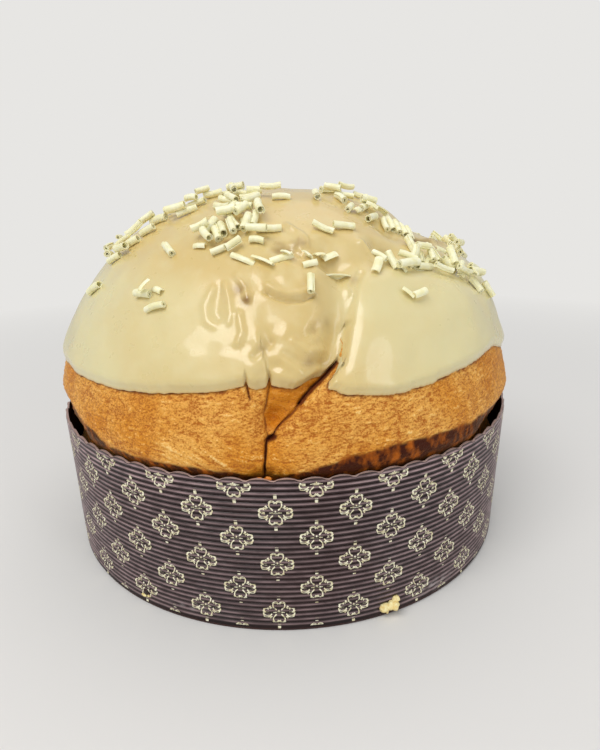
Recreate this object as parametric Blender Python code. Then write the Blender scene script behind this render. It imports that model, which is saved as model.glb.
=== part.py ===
"""Panettone in its baking case: a low paper case with a scalloped edge, the risen loaf and its
coat of icing.

Metres, +Z up. The origin is under the middle of the case, and -Y is the side with the crack.
"""

import math

import bmesh
import bpy
from mathutils import Vector

# The case: a strip of stiff corrugated paper, curved in at its foot, glued to a round base.
CASE_RADIUS = 0.105
CASE_HEIGHT = 0.062
PAPER = 0.0011
SCALLOPS = 72
SCALLOP_COLUMNS = 3
SCALLOP_RISE = 0.0007
FOOT_CURVE = 0.0010
FLANGE_WIDTH = 0.009
BASE_RADIUS = 0.1045
GAP = 0.0003

# The loaf: it fills the case, draws in at the rim and swells out above it.
LOAF_RADIUS = 0.1053
WIDEST_HEIGHT = 0.0675
LOAF_HEIGHT = 0.1515
WAIST_RADIUS = 0.1005
BOTTOM_CURVE = 0.006
CROWN_SHIFT = -0.006
# The dome's outline is a superellipse, and the right side is fuller than the left.
LEFT_POWERS = (2.28, 1.44)
RIGHT_POWERS = (2.60, 1.76)

# The icing: a coat that ends in a wavy edge all round.
ICING = 0.0022
ICING_LIP = 0.0009
EDGE_HEIGHT = 0.0893

# The edge's waves: a notch at the crack (height, azimuth and half width in degrees), and waves and
# drips (height, how many go round, where they start in radians).
EDGE_NOTCH = (0.0055, 2, 6)
EDGE_WAVES = ((-0.0010, 4, 0.4 + math.pi / 2), (0.0009, 7, 0.0))
EDGE_DRIPS = (0.0022, 5, 1.0)
DRIPS_FROM, DRIPS_BLEND = 60, 40

# The loaf's rows: in the case, over its rim, up the bare crust and up under the icing.
CLEARANCE = 0.0006  # keeps the loaf off the flat stretches between the case's columns
CASE_SHARE = 0.68
RIM_HEIGHTS = (0.052, 0.058, 0.0615, 0.0645)
BARE_ROWS = 5
ICED_ROWS = 8
ICED_POWER = 1.25
LIP_SHARE = 0.035
STEP = 0.004
AZIMUTH_ROUNDS = 6
COLUMN_DEGREES, FINE_DEGREES = 6, 1.5
FINE_FROM, FINE_TO = -12, 18

# The folds of the dome, each with its depth, its half width and its way over the crust as
# (azimuth in degrees from the front, height in metres).
FOLDS = (
    # the crack in the front, and how the two lobes round into it
    (0.0042, 0.0026, ((-3, 0.060), (-2.5, 0.078), (-1.5, 0.083))),
    (0.0022, 0.0085, ((-3, 0.060), (-2.5, 0.078), (-1.5, 0.083))),
    (0.0022, 0.0026, ((-1.5, 0.083), (-2.9, 0.091), (-1.9, 0.098))),
    (0.0030, 0.0036, ((-1.5, 0.083), (4.6, 0.0905), (10.6, 0.100), (12.5, 0.108))),
    # the valleys between the front lobes, beside the right lobe and over the hidden side
    (0.0038, 0.0060, ((10.6, 0.100), (14.0, 0.113), (15.5, 0.124), (14.5, 0.130))),
    (0.0022, 0.0070, ((15.5, 0.126), (32.0, 0.129), (47.0, 0.126), (60.0, 0.116))),
    (0.0030, 0.0110, ((105, 0.095), (112, 0.120), (95, 0.142))),
    (0.0030, 0.0120, ((-112, 0.098), (-104, 0.122), (-96, 0.143))),
    (0.0026, 0.0110, ((178, 0.100), (170, 0.124), (176, 0.144))),
    # the hollow beside the crown on the right, and the full flank below it
    (0.0042, 0.0130, ((46, 0.137), (70, 0.136), (88, 0.138))),
    (-0.0024, 0.0150, ((48, 0.112), (70, 0.113), (95, 0.112))),
)
# The recessed gore of crust between the two arms of the crack.
GORE_DEPTH = 0.0022
GORE_FOOT = 0.084
GORE_TOP = 0.122
# Its left and right sides, in degrees at its foot and at its top, and how softly it ends.
GORE_LEFT = (-2.0, -6.0)
GORE_RIGHT = (-1.0, 14.0)
GORE_SOFT = 1.6


def smooth(value):
    value = min(max(value, 0.0), 1.0)
    return value * value * (3 - 2 * value)


def mix(first, second, share):
    return first + (second - first) * share


def powers(azimuth):
    """The two powers of the superellipse at this azimuth."""
    side = smooth(0.5 + 0.5 * math.sin(azimuth))
    return [mix(left, right, side) for left, right in zip(LEFT_POWERS, RIGHT_POWERS)]


def crust(azimuth, rise):
    """A point of the plain dome. rise goes from 0 at the widest line to 1 at the crown."""
    out, up = powers(azimuth)
    angle = rise * math.pi / 2
    climb = math.sin(angle) ** (2 / up)
    radius = LOAF_RADIUS * max(math.cos(angle), 0.0) ** (2 / out)
    height = mix(WIDEST_HEIGHT, LOAF_HEIGHT, climb)
    return Vector(
        (radius * math.sin(azimuth) + CROWN_SHIFT * climb, -radius * math.cos(azimuth), height)
    )


def rise_at(azimuth, height):
    """How far up the dome's outline this height lies."""
    up = powers(azimuth)[1]
    climb = min(max((height - WIDEST_HEIGHT) / (LOAF_HEIGHT - WIDEST_HEIGHT), 0.0), 1.0)
    return math.asin(climb ** (up / 2)) * 2 / math.pi


def at_height(degrees, height):
    """The dome's point at this azimuth about the case's axis: its crown is shifted, so the dome's
    own azimuth is looked for in a few rounds."""
    azimuth = wanted = math.radians(degrees)
    for _ in range(AZIMUTH_ROUNDS if height > WIDEST_HEIGHT else 0):
        point = crust(azimuth, rise_at(azimuth, height))
        azimuth += math.remainder(wanted - math.atan2(point.x, -point.y), math.tau)
    if height < WIDEST_HEIGHT:
        radius = waist(height)
        return Vector((radius * math.sin(azimuth), -radius * math.cos(azimuth), height))
    return crust(azimuth, rise_at(azimuth, height))


def waist(height):
    """The loaf's radius where it draws in, between the case's rim and the widest line."""
    share = smooth((WIDEST_HEIGHT - height) / (WIDEST_HEIGHT - CASE_HEIGHT + 0.004))
    return mix(LOAF_RADIUS, WAIST_RADIUS, share)


PATHS = [
    (depth, half_width, [at_height(*place) for place in places])
    for depth, half_width, places in FOLDS
]


def distance(point, path):
    """From a point to a path of straight stretches."""
    nearest = math.inf
    for start, end in zip(path, path[1:]):
        along = end - start
        share = min(max((point - start).dot(along) / along.length_squared, 0.0), 1.0)
        nearest = min(nearest, (point - start - along * share).length)
    return nearest


def gore(azimuth, height):
    """How far inside the gore a place lies, from 0 to 1."""
    degrees = math.degrees(azimuth)
    climb = (height - GORE_FOOT) / (GORE_TOP - GORE_FOOT)
    left = mix(*GORE_LEFT, smooth(climb * 1.6 - 0.6))
    right = mix(*GORE_RIGHT, min(climb * 1.7, 1.0))
    across = min(degrees - left, right - degrees) / GORE_SOFT
    return smooth(across) * smooth(climb * 8) * smooth((1 - climb) * 3)


def sunk(point, azimuth):
    """How deep the folds press the crust in at this point."""
    depth = sum(
        depth * math.exp(-((distance(point, path) / half_width) ** 2))
        for depth, half_width, path in PATHS
    )
    return depth + GORE_DEPTH * gore(azimuth, point.z)


def outward(azimuth, rise):
    """The plain dome's normal, from two short steps over it."""
    if rise > 1 - STEP:
        return Vector((0, 0, 1))
    up = crust(azimuth, rise + STEP) - crust(azimuth, rise)
    across = crust(azimuth + STEP, rise) - crust(azimuth - STEP, rise)
    return across.cross(up).normalized()


def edge_height(azimuth):
    """The icing's wavy edge: lowest over the two front lobes, higher at the crack."""
    degrees = (math.degrees(azimuth) + 180) % 360 - 180
    high, centre, wide = EDGE_NOTCH
    notch = high * math.exp(-(((degrees - centre) / wide) ** 2))
    wave = sum(high * math.sin(count * azimuth + start) for high, count, start in EDGE_WAVES)
    high, count, start = EDGE_DRIPS
    behind = smooth((abs(degrees) - DRIPS_FROM) / DRIPS_BLEND)
    return EDGE_HEIGHT + notch + wave - high * math.sin(count * azimuth + start) * behind


def columns():
    """The azimuths of the loaf's columns, closest together round the crack."""
    near, far = math.radians(FINE_DEGREES), math.radians(COLUMN_DEGREES)
    start, end = math.radians(FINE_FROM), math.radians(FINE_TO)
    angles = [start + near * i for i in range(round((end - start) / near))]
    count = round((math.tau - end + start) / far)
    return angles + [end + (math.tau - end + start) / count * i for i in range(count)]


def on_loaf(azimuth, rise, lift=0.0):
    """A point of the folded crust, or one lifted off it along the normal."""
    plain = crust(azimuth, rise)
    return plain + outward(azimuth, rise) * (lift - sunk(plain, azimuth))


def collection(name):
    made = bpy.data.collections.new(name)
    bpy.context.scene.collection.children.link(made)
    return made


def material(name, colour, roughness):
    made = bpy.data.materials.new(name)
    made.use_nodes = True
    shader = made.node_tree.nodes["Principled BSDF"]
    shader.inputs["Base Color"].default_value = (*colour, 1)
    shader.inputs["Roughness"].default_value = roughness
    shader.inputs["Metallic"].default_value = 0
    made.diffuse_color = (*colour, 1)
    return made


def place(name, form, finish, parent):
    """Turns a bmesh into an object of the panettone's collection."""
    bmesh.ops.recalc_face_normals(form, faces=form.faces)
    mesh = bpy.data.meshes.new(name)
    form.to_mesh(mesh)
    form.free()
    mesh.materials.append(finish)
    mesh.shade_smooth()
    mesh.set_sharp_from_angle(angle=math.radians(40))
    made = bpy.data.objects.new(name, mesh)
    made.parent = parent
    group.objects.link(made)
    return made


def loft(rings, ends=(), turned_over=False):
    """A closed skin through rings of equal length. ends are the points that close its two poles;
    without them the last ring joins the first. Every four-cornered patch is split along the same
    diagonal, so that two skins over the same rings keep their distance. Rings that run from the
    top down are turned over, and then the split is too."""
    form = bmesh.new()
    loops = [[form.verts.new(point) for point in ring] for ring in rings]
    pairs = list(zip(loops, loops[1:]))
    if not ends:
        pairs.append((loops[-1], loops[0]))
    for low, high in pairs:
        for i in range(len(low)):
            after = (i + 1) % len(low)
            if turned_over:
                form.faces.new((low[i], low[after], high[i]))
                form.faces.new((low[after], high[after], high[i]))
            else:
                form.faces.new((low[i], low[after], high[after]))
                form.faces.new((low[i], high[after], high[i]))
    for pole, loop in zip(ends, (loops[0], loops[-1])):
        tip = form.verts.new(pole)
        for i in range(len(loop)):
            form.faces.new((loop[i], loop[(i + 1) % len(loop)], tip))
    return form


def turned(radius, height, angles):
    return [Vector((radius * math.sin(a), -radius * math.cos(a), height)) for a in angles]


def make_paper_wall(finish, parent):
    """The ribbed strip: a turned strip with a curved foot, its top edge in small scallops."""
    foot = PAPER + GAP
    count = SCALLOPS * SCALLOP_COLUMNS
    angles = [math.tau * i / count for i in range(count)]
    inner = CASE_RADIUS - PAPER
    profile = (
        (BASE_RADIUS - FLANGE_WIDTH, foot),
        (CASE_RADIUS - FOOT_CURVE, foot),
        (CASE_RADIUS, foot + FOOT_CURVE),
        (CASE_RADIUS, CASE_HEIGHT),
        (inner, CASE_HEIGHT),
        (inner, foot + FOOT_CURVE + PAPER / 2),
        (inner - FOOT_CURVE + PAPER / 2, foot + PAPER),
        (BASE_RADIUS - FLANGE_WIDTH, foot + PAPER),
    )
    rings = []
    for radius, height in profile:
        ring = turned(radius, height, angles)
        if height == CASE_HEIGHT:
            for azimuth, point in zip(angles, ring):
                point.z += SCALLOP_RISE * math.cos(SCALLOPS * azimuth)
        rings.append(ring)
    return place("paper_wall", loft(rings), finish, parent)


def make_paper_base(finish, parent):
    """The round base that the case stands on."""
    form = bmesh.new()
    bmesh.ops.create_cone(
        form,
        cap_ends=True,
        segments=96,
        radius1=BASE_RADIUS,
        radius2=BASE_RADIUS,
        depth=PAPER,
    )
    bmesh.ops.translate(form, verts=form.verts, vec=(0, 0, PAPER / 2))
    return place("paper_base", form, finish, parent)


def make_bread(finish, parent):
    """The loaf: a flat bottom, straight sides in the case, the waist at the rim and the dome."""
    angles = columns()
    floor = 2 * PAPER + 2 * GAP
    side = CASE_RADIUS - PAPER - GAP
    inside = side - CLEARANCE
    rings = [
        turned(inside - BOTTOM_CURVE, floor, angles),
        turned(inside - BOTTOM_CURVE * 0.3, floor + BOTTOM_CURVE * 0.3, angles),
        turned(inside, floor + BOTTOM_CURVE, angles),
        turned(inside, CASE_HEIGHT * CASE_SHARE, angles),
    ]
    for height in RIM_HEIGHTS:
        ring = turned(waist(height), height, angles)
        for azimuth, point in zip(angles, ring):
            inward = Vector((-math.sin(azimuth), math.cos(azimuth), 0))
            point += inward * sunk(point, azimuth)
        rings.append(ring)
    for row in range(BARE_ROWS):
        share = row / BARE_ROWS
        rings.append([on_loaf(a, rise_at(a, edge_height(a)) * share) for a in angles])
    for row in range(ICED_ROWS):
        rings.append([on_loaf(a, iced_rise(a, row / ICED_ROWS)) for a in angles])
    crown = on_loaf(0, 1)
    return place("bread", loft(rings, (Vector((0, 0, floor)), crown)), finish, parent)


def iced_rise(azimuth, share):
    """The rise of a row under the icing, from its edge at 0 to the crown at 1. The rows lie closer
    together near the edge."""
    return mix(rise_at(azimuth, edge_height(azimuth)), 1, share**ICED_POWER)


def make_icing(finish, parent):
    """The icing: a coat of even thickness over the crust, thin at its edge."""
    angles = columns()
    rows = ICED_ROWS
    upper = [[on_loaf(a, iced_rise(a, 0), GAP + ICING_LIP) for a in angles]]
    upper.append([on_loaf(a, iced_rise(a, LIP_SHARE), GAP + ICING) for a in angles])
    for row in range(1, rows):
        upper.append([on_loaf(a, iced_rise(a, row / rows), GAP + ICING) for a in angles])
    lower = [[on_loaf(a, iced_rise(a, row / rows), GAP) for a in angles] for row in range(rows)]
    poles = (on_loaf(0, 1, GAP), on_loaf(0, 1, GAP + ICING))
    return place("icing", loft(lower[::-1] + upper, poles, turned_over=True), finish, parent)


for old in list(bpy.data.objects):
    bpy.data.objects.remove(old, do_unlink=True)
group = collection("panettone")
centre = bpy.data.objects.new("panettone_centre", None)
group.objects.link(centre)
dark_paper = material("dark paper", (0.075, 0.042, 0.050), 0.45)
plain_paper = material("plain paper", (0.060, 0.032, 0.030), 0.60)
crusty = material("browned crust", (0.58, 0.24, 0.045), 0.55)
iced = material("coffee icing", (0.74, 0.62, 0.36), 0.30)
make_paper_wall(dark_paper, centre)
make_paper_base(plain_paper, centre)
make_bread(crusty, centre)
make_icing(iced, centre)
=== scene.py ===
"""A panettone in its ribbed paper case, with coffee icing and white chocolate curls.

Metres, +Z up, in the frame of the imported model: the origin is under the middle of the case and
-Y is the side with the crack. Azimuths are in degrees from the front, growing to the right.
"""

import functools
import math
import random

import bmesh
import bpy
import numpy as np
from mathutils import Matrix, Vector, noise


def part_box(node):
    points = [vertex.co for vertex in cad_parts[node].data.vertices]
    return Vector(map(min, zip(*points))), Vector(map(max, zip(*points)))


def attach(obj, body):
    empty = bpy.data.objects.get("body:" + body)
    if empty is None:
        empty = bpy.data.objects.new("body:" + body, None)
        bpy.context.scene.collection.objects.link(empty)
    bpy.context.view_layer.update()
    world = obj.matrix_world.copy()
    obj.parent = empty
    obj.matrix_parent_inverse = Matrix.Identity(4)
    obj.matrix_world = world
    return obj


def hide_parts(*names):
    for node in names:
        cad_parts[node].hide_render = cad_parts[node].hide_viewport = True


bl_info = {
    "name": "Panettone",
    "version": (1, 0, 0),
    "blender": (4, 5, 0),
    "location": "3D View > Sidebar > Panettone",
    "description": "Builds an iced panettone in its paper case round the packed model",
    "category": "Object",
}

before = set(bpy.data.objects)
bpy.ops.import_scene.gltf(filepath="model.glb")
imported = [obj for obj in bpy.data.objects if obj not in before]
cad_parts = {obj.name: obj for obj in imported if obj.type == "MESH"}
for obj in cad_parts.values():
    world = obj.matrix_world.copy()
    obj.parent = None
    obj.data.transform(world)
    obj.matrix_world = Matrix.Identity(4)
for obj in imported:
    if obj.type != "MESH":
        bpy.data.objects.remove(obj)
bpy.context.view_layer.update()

MM = 0.001
PLACING_ROUNDS = 9
# A short step over the dome, in azimuth or in rise, from which its slope is worked out.
SHORT_STEP = 0.004

# The paper case, from the frame.
WALL_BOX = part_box("paper_wall")
BASE_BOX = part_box("paper_base")
CASE_RADIUS = WALL_BOX[1].x
SCALLOPS = 72
SCALLOP_RISE = 0.7 * MM
SCALLOP_START = math.radians(1.0)
CASE_HEIGHT = WALL_BOX[1].z - SCALLOP_RISE
PAPER = BASE_BOX[1].z
FOOT_CURVE = 0.5 * MM
# The strip's foot, a hair of glue above the base.
WALL_FOOT = PAPER + 0.3 * MM
WALL_COLUMNS = 8 * SCALLOPS
# The painted highlight on the ribs' upper sides is strongest from this azimuth on, and has this
# share of it in front. It is weaker low on the wall, and gains over a band that starts at this height,
# in mm.
HIGHLIGHT_FULL_FROM = 42
FRONT_HIGHLIGHT = 0.66
LOW_HIGHLIGHT = 0.68
HIGHLIGHT_GAIN_FROM, HIGHLIGHT_GAIN_OVER = 50, 8
# Where the print is rubbed off: strength, azimuth, height, half width and half height.
SCUFFS = ((0.8, 34, 5, 5, 2.5), (0.6, 43, 9, 4, 2), (0.5, -20, 6, 5, 1.2))
# Where the rows of a rib lie, from its foot to the next one's, and how much painted highlight
# each row gets: the highlight lies on each rib's upper side, where light from above falls.
RIB_ROWS = (0.0, 0.18, 0.48, 0.70, 0.88)
RIB_HIGHLIGHT = (0.0, 0.0, 0.0, 1.0, 0.22)
BASE_COLUMNS = 288
FLANGE_WIDTH = 9 * MM
FLANGE_RADIUS = BASE_BOX[1].x - FLANGE_WIDTH

# The loaf: a superellipse of revolution, fuller on the right, whose crown leans to the left.
LOAF_RADIUS = 105.3 * MM
WIDEST_HEIGHT = 67.5 * MM
LOAF_HEIGHT = 151.5 * MM
WAIST_RADIUS = 102.2 * MM
BOTTOM_CURVE = 6 * MM
# Up to this height the loaf is a plain cylinder, which nothing shows.
PLAIN_HEIGHT = 42 * MM
# The gaps under the loaf and round it inside the case.
GAP_UNDER = 0.6 * MM
GAP_AROUND = 0.9 * MM
# How far the loaf's and the icing's hidden crowns lie below the dome's.
LOAF_CROWN = 3.0 * MM
ICING_CROWN = 2.6 * MM
CROWN_SHIFT = -6 * MM
LEFT_POWERS = (2.28, 1.44)
RIGHT_POWERS = (2.60, 1.76)

# Folds of the dome: depth, half width and the way over the crust as (azimuth, height), in mm.
FOLDS = (
    (2.2, 8.5, ((-3, 60), (-2.5, 78), (-1.5, 83))),
    (1.5, 3.0, ((-3, 60), (-2.5, 78), (-1.5, 83))),
    (1.2, 3.0, ((-1.5, 83), (-2.9, 91), (-1.9, 98))),
    (1.6, 3.6, ((-1.5, 83), (4.6, 90.5), (10.6, 100), (12.5, 108))),
    (3.4, 6.0, ((10.6, 100), (14, 113), (15.5, 124), (14.5, 130))),
    (2.6, 6.0, ((15.5, 126), (32, 128), (45, 124), (60, 116))),
    (3.0, 11.0, ((105, 95), (112, 120), (95, 142))),
    (3.0, 12.0, ((-112, 98), (-104, 122), (-96, 143))),
    (2.6, 11.0, ((178, 100), (170, 124), (176, 144))),
    (4.2, 13.0, ((46, 137), (70, 136), (88, 138))),
    (-2.4, 15.0, ((48, 112), (70, 113), (95, 112))),
)
# Sharp splits in the crust: depth, half width and way.
SPLITS = (
    (2.2, 0.50, ((-3.3, 58), (-3.0, 66), (-2.7, 71.5), (-2.8, 75), (-1.9, 76.8))),
    (1.2, 0.34, ((-2.4, 77), (-2.8, 80.2), (-3.1, 84.5), (-2.4, 88.6), (-1.9, 93), (-1.9, 95.8))),
    (1.5, 0.40, ((-1.6, 76.8), (0.4, 81.1), (2.1, 83.9), (4.0, 87.5))),
    (2.4, 0.75, ((4.0, 87.5), (6.3, 91.8), (9.3, 95.5), (11.2, 98.4), (12.2, 100.3))),
    (2.4, 1.00, ((-2.3, 75.6), (-1.0, 76.6))),
    (1.6, 0.40, ((-5.4, 88.6), (-6.1, 93.2))),
)
# The line of the crack, which the columns of the loaf and of the icing follow.
CRACK_LINE = (
    (58, -3.2), (76.8, -1.8), (81.1, 0.4), (83.9, 2.1), (87.5, 4.0), (91.8, 6.3), (95.5, 9.3),
    (98.4, 11.2), (100.5, 12.3), (106.3, 13.7), (113.1, 15.6), (118, 16.5), (135, 12), (150, 5),
)
CRACK_COLUMN = 5.0
CRACK_REACH = 35.0
LEFT_ARM_LINE = (
    (58, -3.6), (70, -3.2), (76.8, -2.5), (80.2, -2.8), (84.5, -3.1), (88.6, -2.4), (95.8, -1.9),
    (110, -4), (122, -6),
)
LEFT_COLUMN = -2.5
LEFT_REACH = 16.0
# Stretches round the loaf, from and to an azimuth, and how far apart their columns lie.
COLUMN_STRETCHES = (
    (-175, -62, 1.3), (-62, -9, 0.5), (-9, -2.5, 0.22), (-2.5, 5, 0.17), (5, 12, 0.22),
    (12, 66, 0.5), (66, 185, 1.3),
)
COLUMN_SAMPLES = 7201
# The rows of the loaf that show: up to its widest line, and from there to just under the icing.
SKIRT_HEIGHTS = np.arange(50, 67.5, 0.5) * MM
CRUST_ROWS = 66
UNDER_ICING = 5 * MM
# The rows of the loaf that the icing hides, and those of the icing's outer and inner face.
HIDDEN_ROWS = 12
ICING_ROWS = 150
INNER_ROWS = 12
GORE_FOOT = 77.5
GORE_TOP = 124.0
# Where the bread turns in to its dark waist, as (azimuth, height). Below it the crust is painted
# dark: partly its real dark crust, partly painted shade in the gap over the rim.
WAIST_LINE = (
    (-180, 71), (-56, 75), (-48, 72), (-40, 69.5), (-36, 66.5), (-26, 65.6), (-15, 65.6), (-8, 64.4),
    (-3, 60.5), (2, 63.6), (7, 66.4), (12, 69.2), (17, 70.8), (29, 71.4), (51, 71.4), (180, 71),
)

# The icing's edge in front, as (azimuth, height). Behind, it hangs in waves.
ICING_EDGE = (
    (-62, 88.3), (-51.5, 87.2), (-40.4, 87.2), (-33.6, 87.2), (-24.8, 88.2), (-18, 89.4), (-13, 90.3),
    (-9.4, 91.2), (-7.1, 92.0), (-6.4, 92.6), (-6.1, 94.4), (-5.6, 92.2), (-4.4, 91.6), (-2.6, 92.2),
    (-2.2, 93.0), (-1.9, 96.0), (-1.5, 93.2), (-0.6, 92.6), (0.9, 92.2), (2.6, 91.9), (4.2, 93.0),
    (6.6, 95.2), (8.3, 95.6), (10.1, 96.9), (11.3, 99.0), (12.3, 100.6), (12.1, 97.6), (11.0, 95.8),
    (9.5, 93.4), (9.2, 91.6), (10.8, 89.7), (13.6, 88.7), (20.3, 87.6), (24, 87.4), (26.2, 88.1),
    (30.4, 88.4), (35, 89.7), (40.2, 90.4), (46.8, 91.4), (52, 92.4), (61, 93.0),
)
EDGE_HEIGHT = 89.3
# Hollows and ridges in the icing: depth (below 0 for a ridge), half width and way.
ICING_MARKS = (
    (-0.55, 1.3, ((-14.8, 121), (-16.0, 116), (-14.6, 111.5), (-12.8, 110.2))),
    (-0.55, 1.2, ((-12.4, 122), (-10.8, 118), (-9.8, 113.6), (-10.0, 111.4))),
    (0.8, 2.0, ((-13.6, 121), (-13.2, 114), (-12.4, 112.5))),
    (-1.2, 1.2, ((-2.3, 121.8), (-0.5, 120.4), (2.4, 119.4), (5.0, 119.6), (7.5, 120.8))),
    (1.8, 0.65, ((-2.6, 120.0), (-0.4, 118.6), (2.4, 117.8), (5.4, 118.0), (7.8, 119.2))),
    (1.0, 1.2, ((-4.4, 102.0), (-1.4, 106.4))),
    (0.8, 1.5, ((6.8, 109.4), (7.9, 111.0))),
    (2.2, 0.9, ((12.2, 99.5), (13.2, 104), (14.2, 108), (15.2, 112))),
    (1.2, 1.4, ((15.2, 112), (16.7, 117), (18.3, 122), (21.3, 126))),
    (-0.9, 1.3, ((-8.0, 113.5), (-7.0, 108.5), (-7.6, 105.5))),
    (-0.9, 1.4, ((3.0, 106.5), (6.0, 103.5), (9.0, 104.5))),
    (0.9, 1.3, ((1.5, 103.0), (5.0, 100.0), (8.5, 100.6))),
    (-0.8, 1.3, ((-9.8, 124.5), (-7.4, 121.5), (-6.5, 118))),
    (-0.8, 1.4, ((3.0, 140), (6.5, 136), (6.0, 132.5))),
    (1.4, 1.6, ((-0.5, 132.4), (3.5, 132.8), (6.2, 130.8))),
    (-1.0, 1.5, ((7.8, 131.0), (9.6, 126.5), (14.0, 125.0))),
    (2.0, 3.2, ((30.0, 133.2), (35.0, 131.5))),
    (-1.3, 1.6, ((24.5, 133.8), (27.5, 129.2), (33.0, 128.2))),
    (6.5, 2.8, ((58.0, 135.4), (61.0, 134.2))),
    (-2.0, 2.2, ((63.0, 134.6), (68.0, 132.8), (72.0, 130.4))),
    (1.6, 1.0, ((58.2, 129.8), (58.8, 129.3))),
    (-0.8, 0.9, ((4.0, 139.0), (7.0, 137.6), (8.6, 135.4), (8.2, 133.4))),
)
# Thin spots, where the crust shows through the icing: strength, radius and place.
THIN_SPOTS = (
    (0.9, 2.0, (-8.6, 120.6)), (0.95, 2.0, (-6.8, 117.8)), (0.9, 2.2, (0.6, 133.4)),
    (0.8, 1.7, (3.0, 132.8)), (0.9, 2.0, (6.4, 134.2)), (0.8, 1.6, (4.6, 134.2)),
    (0.95, 2.2, (-15.0, 134.4)), (0.95, 2.0, (-17.6, 133.4)), (0.45, 1.6, (12.0, 128.9)),
    (0.35, 2.4, (6.0, 100.4)), (0.35, 1.8, (-3.0, 104.0)), (0.45, 1.5, (7.4, 110.0)),
    (0.35, 2.5, (33.0, 132.0)), (0.35, 2.2, (9.8, 98.6)), (0.4, 2.0, (19.0, 124.6)),
    (0.8, 3.2, (64.0, 134.0)), (0.8, 2.8, (69.0, 132.4)), (0.7, 2.6, (60.0, 131.4)),
    (0.35, 3.0, (10.0, 112.0)),
)
# How far the icing's face, on which these places lie, is above the plain dome.
ICING_LIFT = 2.4 * MM
BARE_SPOTS = ((2.4, 3.0, (59.0, 135.0)), (2.0, 2.4, (61.0, 134.0)), (1.2, 1.0, (58.4, 129.6)))

# The printed motifs: rows fall this far apart, and every second row is set over by half a step.
MOTIFS_ROUND = 24
MOTIF_START = -1.14
MOTIF_DROP = 10.35
TOP_ROW = 60.4


def linear(red, green, blue):
    """A colour given from 0 to 255 as the shader's own linear values."""
    return tuple(
        part / 12.92 if part <= 0.04045 else ((part + 0.055) / 1.055) ** 2.4
        for part in (red / 255, green / 255, blue / 255)
    )


def smooth(value):
    value = np.clip(value, 0.0, 1.0)
    return value * value * (3 - 2 * value)


def mix(first, second, share):
    return first + (second - first) * share


# ---------------------------------------------------------------------------------------------
# The dome
# ---------------------------------------------------------------------------------------------


def powers(azimuth):
    side = smooth(0.5 + 0.5 * np.sin(azimuth))
    return [mix(left, right, side) for left, right in zip(LEFT_POWERS, RIGHT_POWERS)]


def crust(azimuth, rise):
    """Points of the plain dome; rise goes from 0 at the widest line to 1 at the crown."""
    out, up = powers(azimuth)
    angle = np.clip(rise, 0, 1) * math.pi / 2
    climb = np.sin(angle) ** (2 / up)
    radius = LOAF_RADIUS * np.maximum(np.cos(angle), 0.0) ** (2 / out)
    across = radius * np.sin(azimuth) + CROWN_SHIFT * climb
    height = mix(WIDEST_HEIGHT, LOAF_HEIGHT, climb)
    return np.stack(np.broadcast_arrays(across, -radius * np.cos(azimuth), height), axis=-1)


def rise_at(azimuth, height):
    up = powers(azimuth)[1]
    climb = np.clip((height - WIDEST_HEIGHT) / (LOAF_HEIGHT - WIDEST_HEIGHT), 0.0, 1.0)
    return np.arcsin(climb ** (up / 2)) * 2 / math.pi


def outward(azimuth, rise):
    """The plain dome's normals, from short steps over it."""
    low = np.minimum(rise, 1 - 2 * SHORT_STEP)
    up = crust(azimuth, low + SHORT_STEP) - crust(azimuth, low)
    across = crust(azimuth + SHORT_STEP, low) - crust(azimuth - SHORT_STEP, low)
    normal = np.cross(across, up)
    normal /= np.linalg.norm(normal, axis=-1, keepdims=True)
    share = smooth((rise - 0.93) / 0.06)[..., None]
    normal = mix(normal, np.array((0.0, 0.0, 1.0)), share)
    return normal / np.linalg.norm(normal, axis=-1, keepdims=True)


def waist(height):
    share = smooth((WIDEST_HEIGHT - height) / (WIDEST_HEIGHT - CASE_HEIGHT + 4 * MM))
    return mix(LOAF_RADIUS, WAIST_RADIUS, share)


def side_points(azimuth, height):
    """Points of the plain loaf below its widest line."""
    radius = waist(height)
    return np.stack(
        np.broadcast_arrays(radius * np.sin(azimuth), -radius * np.cos(azimuth), height), axis=-1
    )


@functools.lru_cache(maxsize=None)
def on_dome(degrees, height_mm, above=0.0):
    """The dome's own azimuth and height, in radians and metres, under a place. The place's azimuth
    is measured about the case's axis, and it lies this far above the dome."""
    sought, height = math.radians(degrees), height_mm * MM
    azimuth, level = sought, height
    for _ in range(PLACING_ROUNDS):
        rise = rise_at(np.float64(azimuth), level)
        away = outward(np.array([azimuth]), np.array([rise]))[0]
        point = crust(np.float64(azimuth), rise) + above * away
        azimuth += 0.8 * (sought - math.atan2(point[0], -point[1]))
        level = min(level + 0.8 * (height - point[2]), LOAF_HEIGHT - 0.2 * MM)
    return azimuth, level


@functools.lru_cache(maxsize=None)
def place_on(degrees, height_mm, above=0.0):
    """The point of the plain loaf under a place."""
    if height_mm * MM < WIDEST_HEIGHT:
        return side_points(np.float64(math.radians(degrees)), np.float64(height_mm * MM))
    azimuth, level = on_dome(degrees, height_mm, above)
    return crust(np.float64(azimuth), rise_at(np.float64(azimuth), level))


def distance_to(points, places, above=0.0):
    """How far each point lies from a way over the loaf."""
    way = [place_on(*place, above) for place in places]
    nearest = np.full(points.shape[:-1], np.inf)
    for start, end in zip(way, way[1:]):
        along = end - start
        share = np.clip(((points - start) @ along) / (along @ along), 0.0, 1.0)
        gap = np.linalg.norm(points - start - share[..., None] * along, axis=-1)
        nearest = np.minimum(nearest, gap)
    return nearest


def marks(points, listed, above=0.0):
    """The summed depth of folds, splits or hollows at each point."""
    depth = np.zeros(points.shape[:-1])
    for deep, half_width, places in listed:
        gap = distance_to(points, places, above)
        depth += deep * MM * np.exp(-((gap / (half_width * MM)) ** 2))
    return depth


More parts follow.
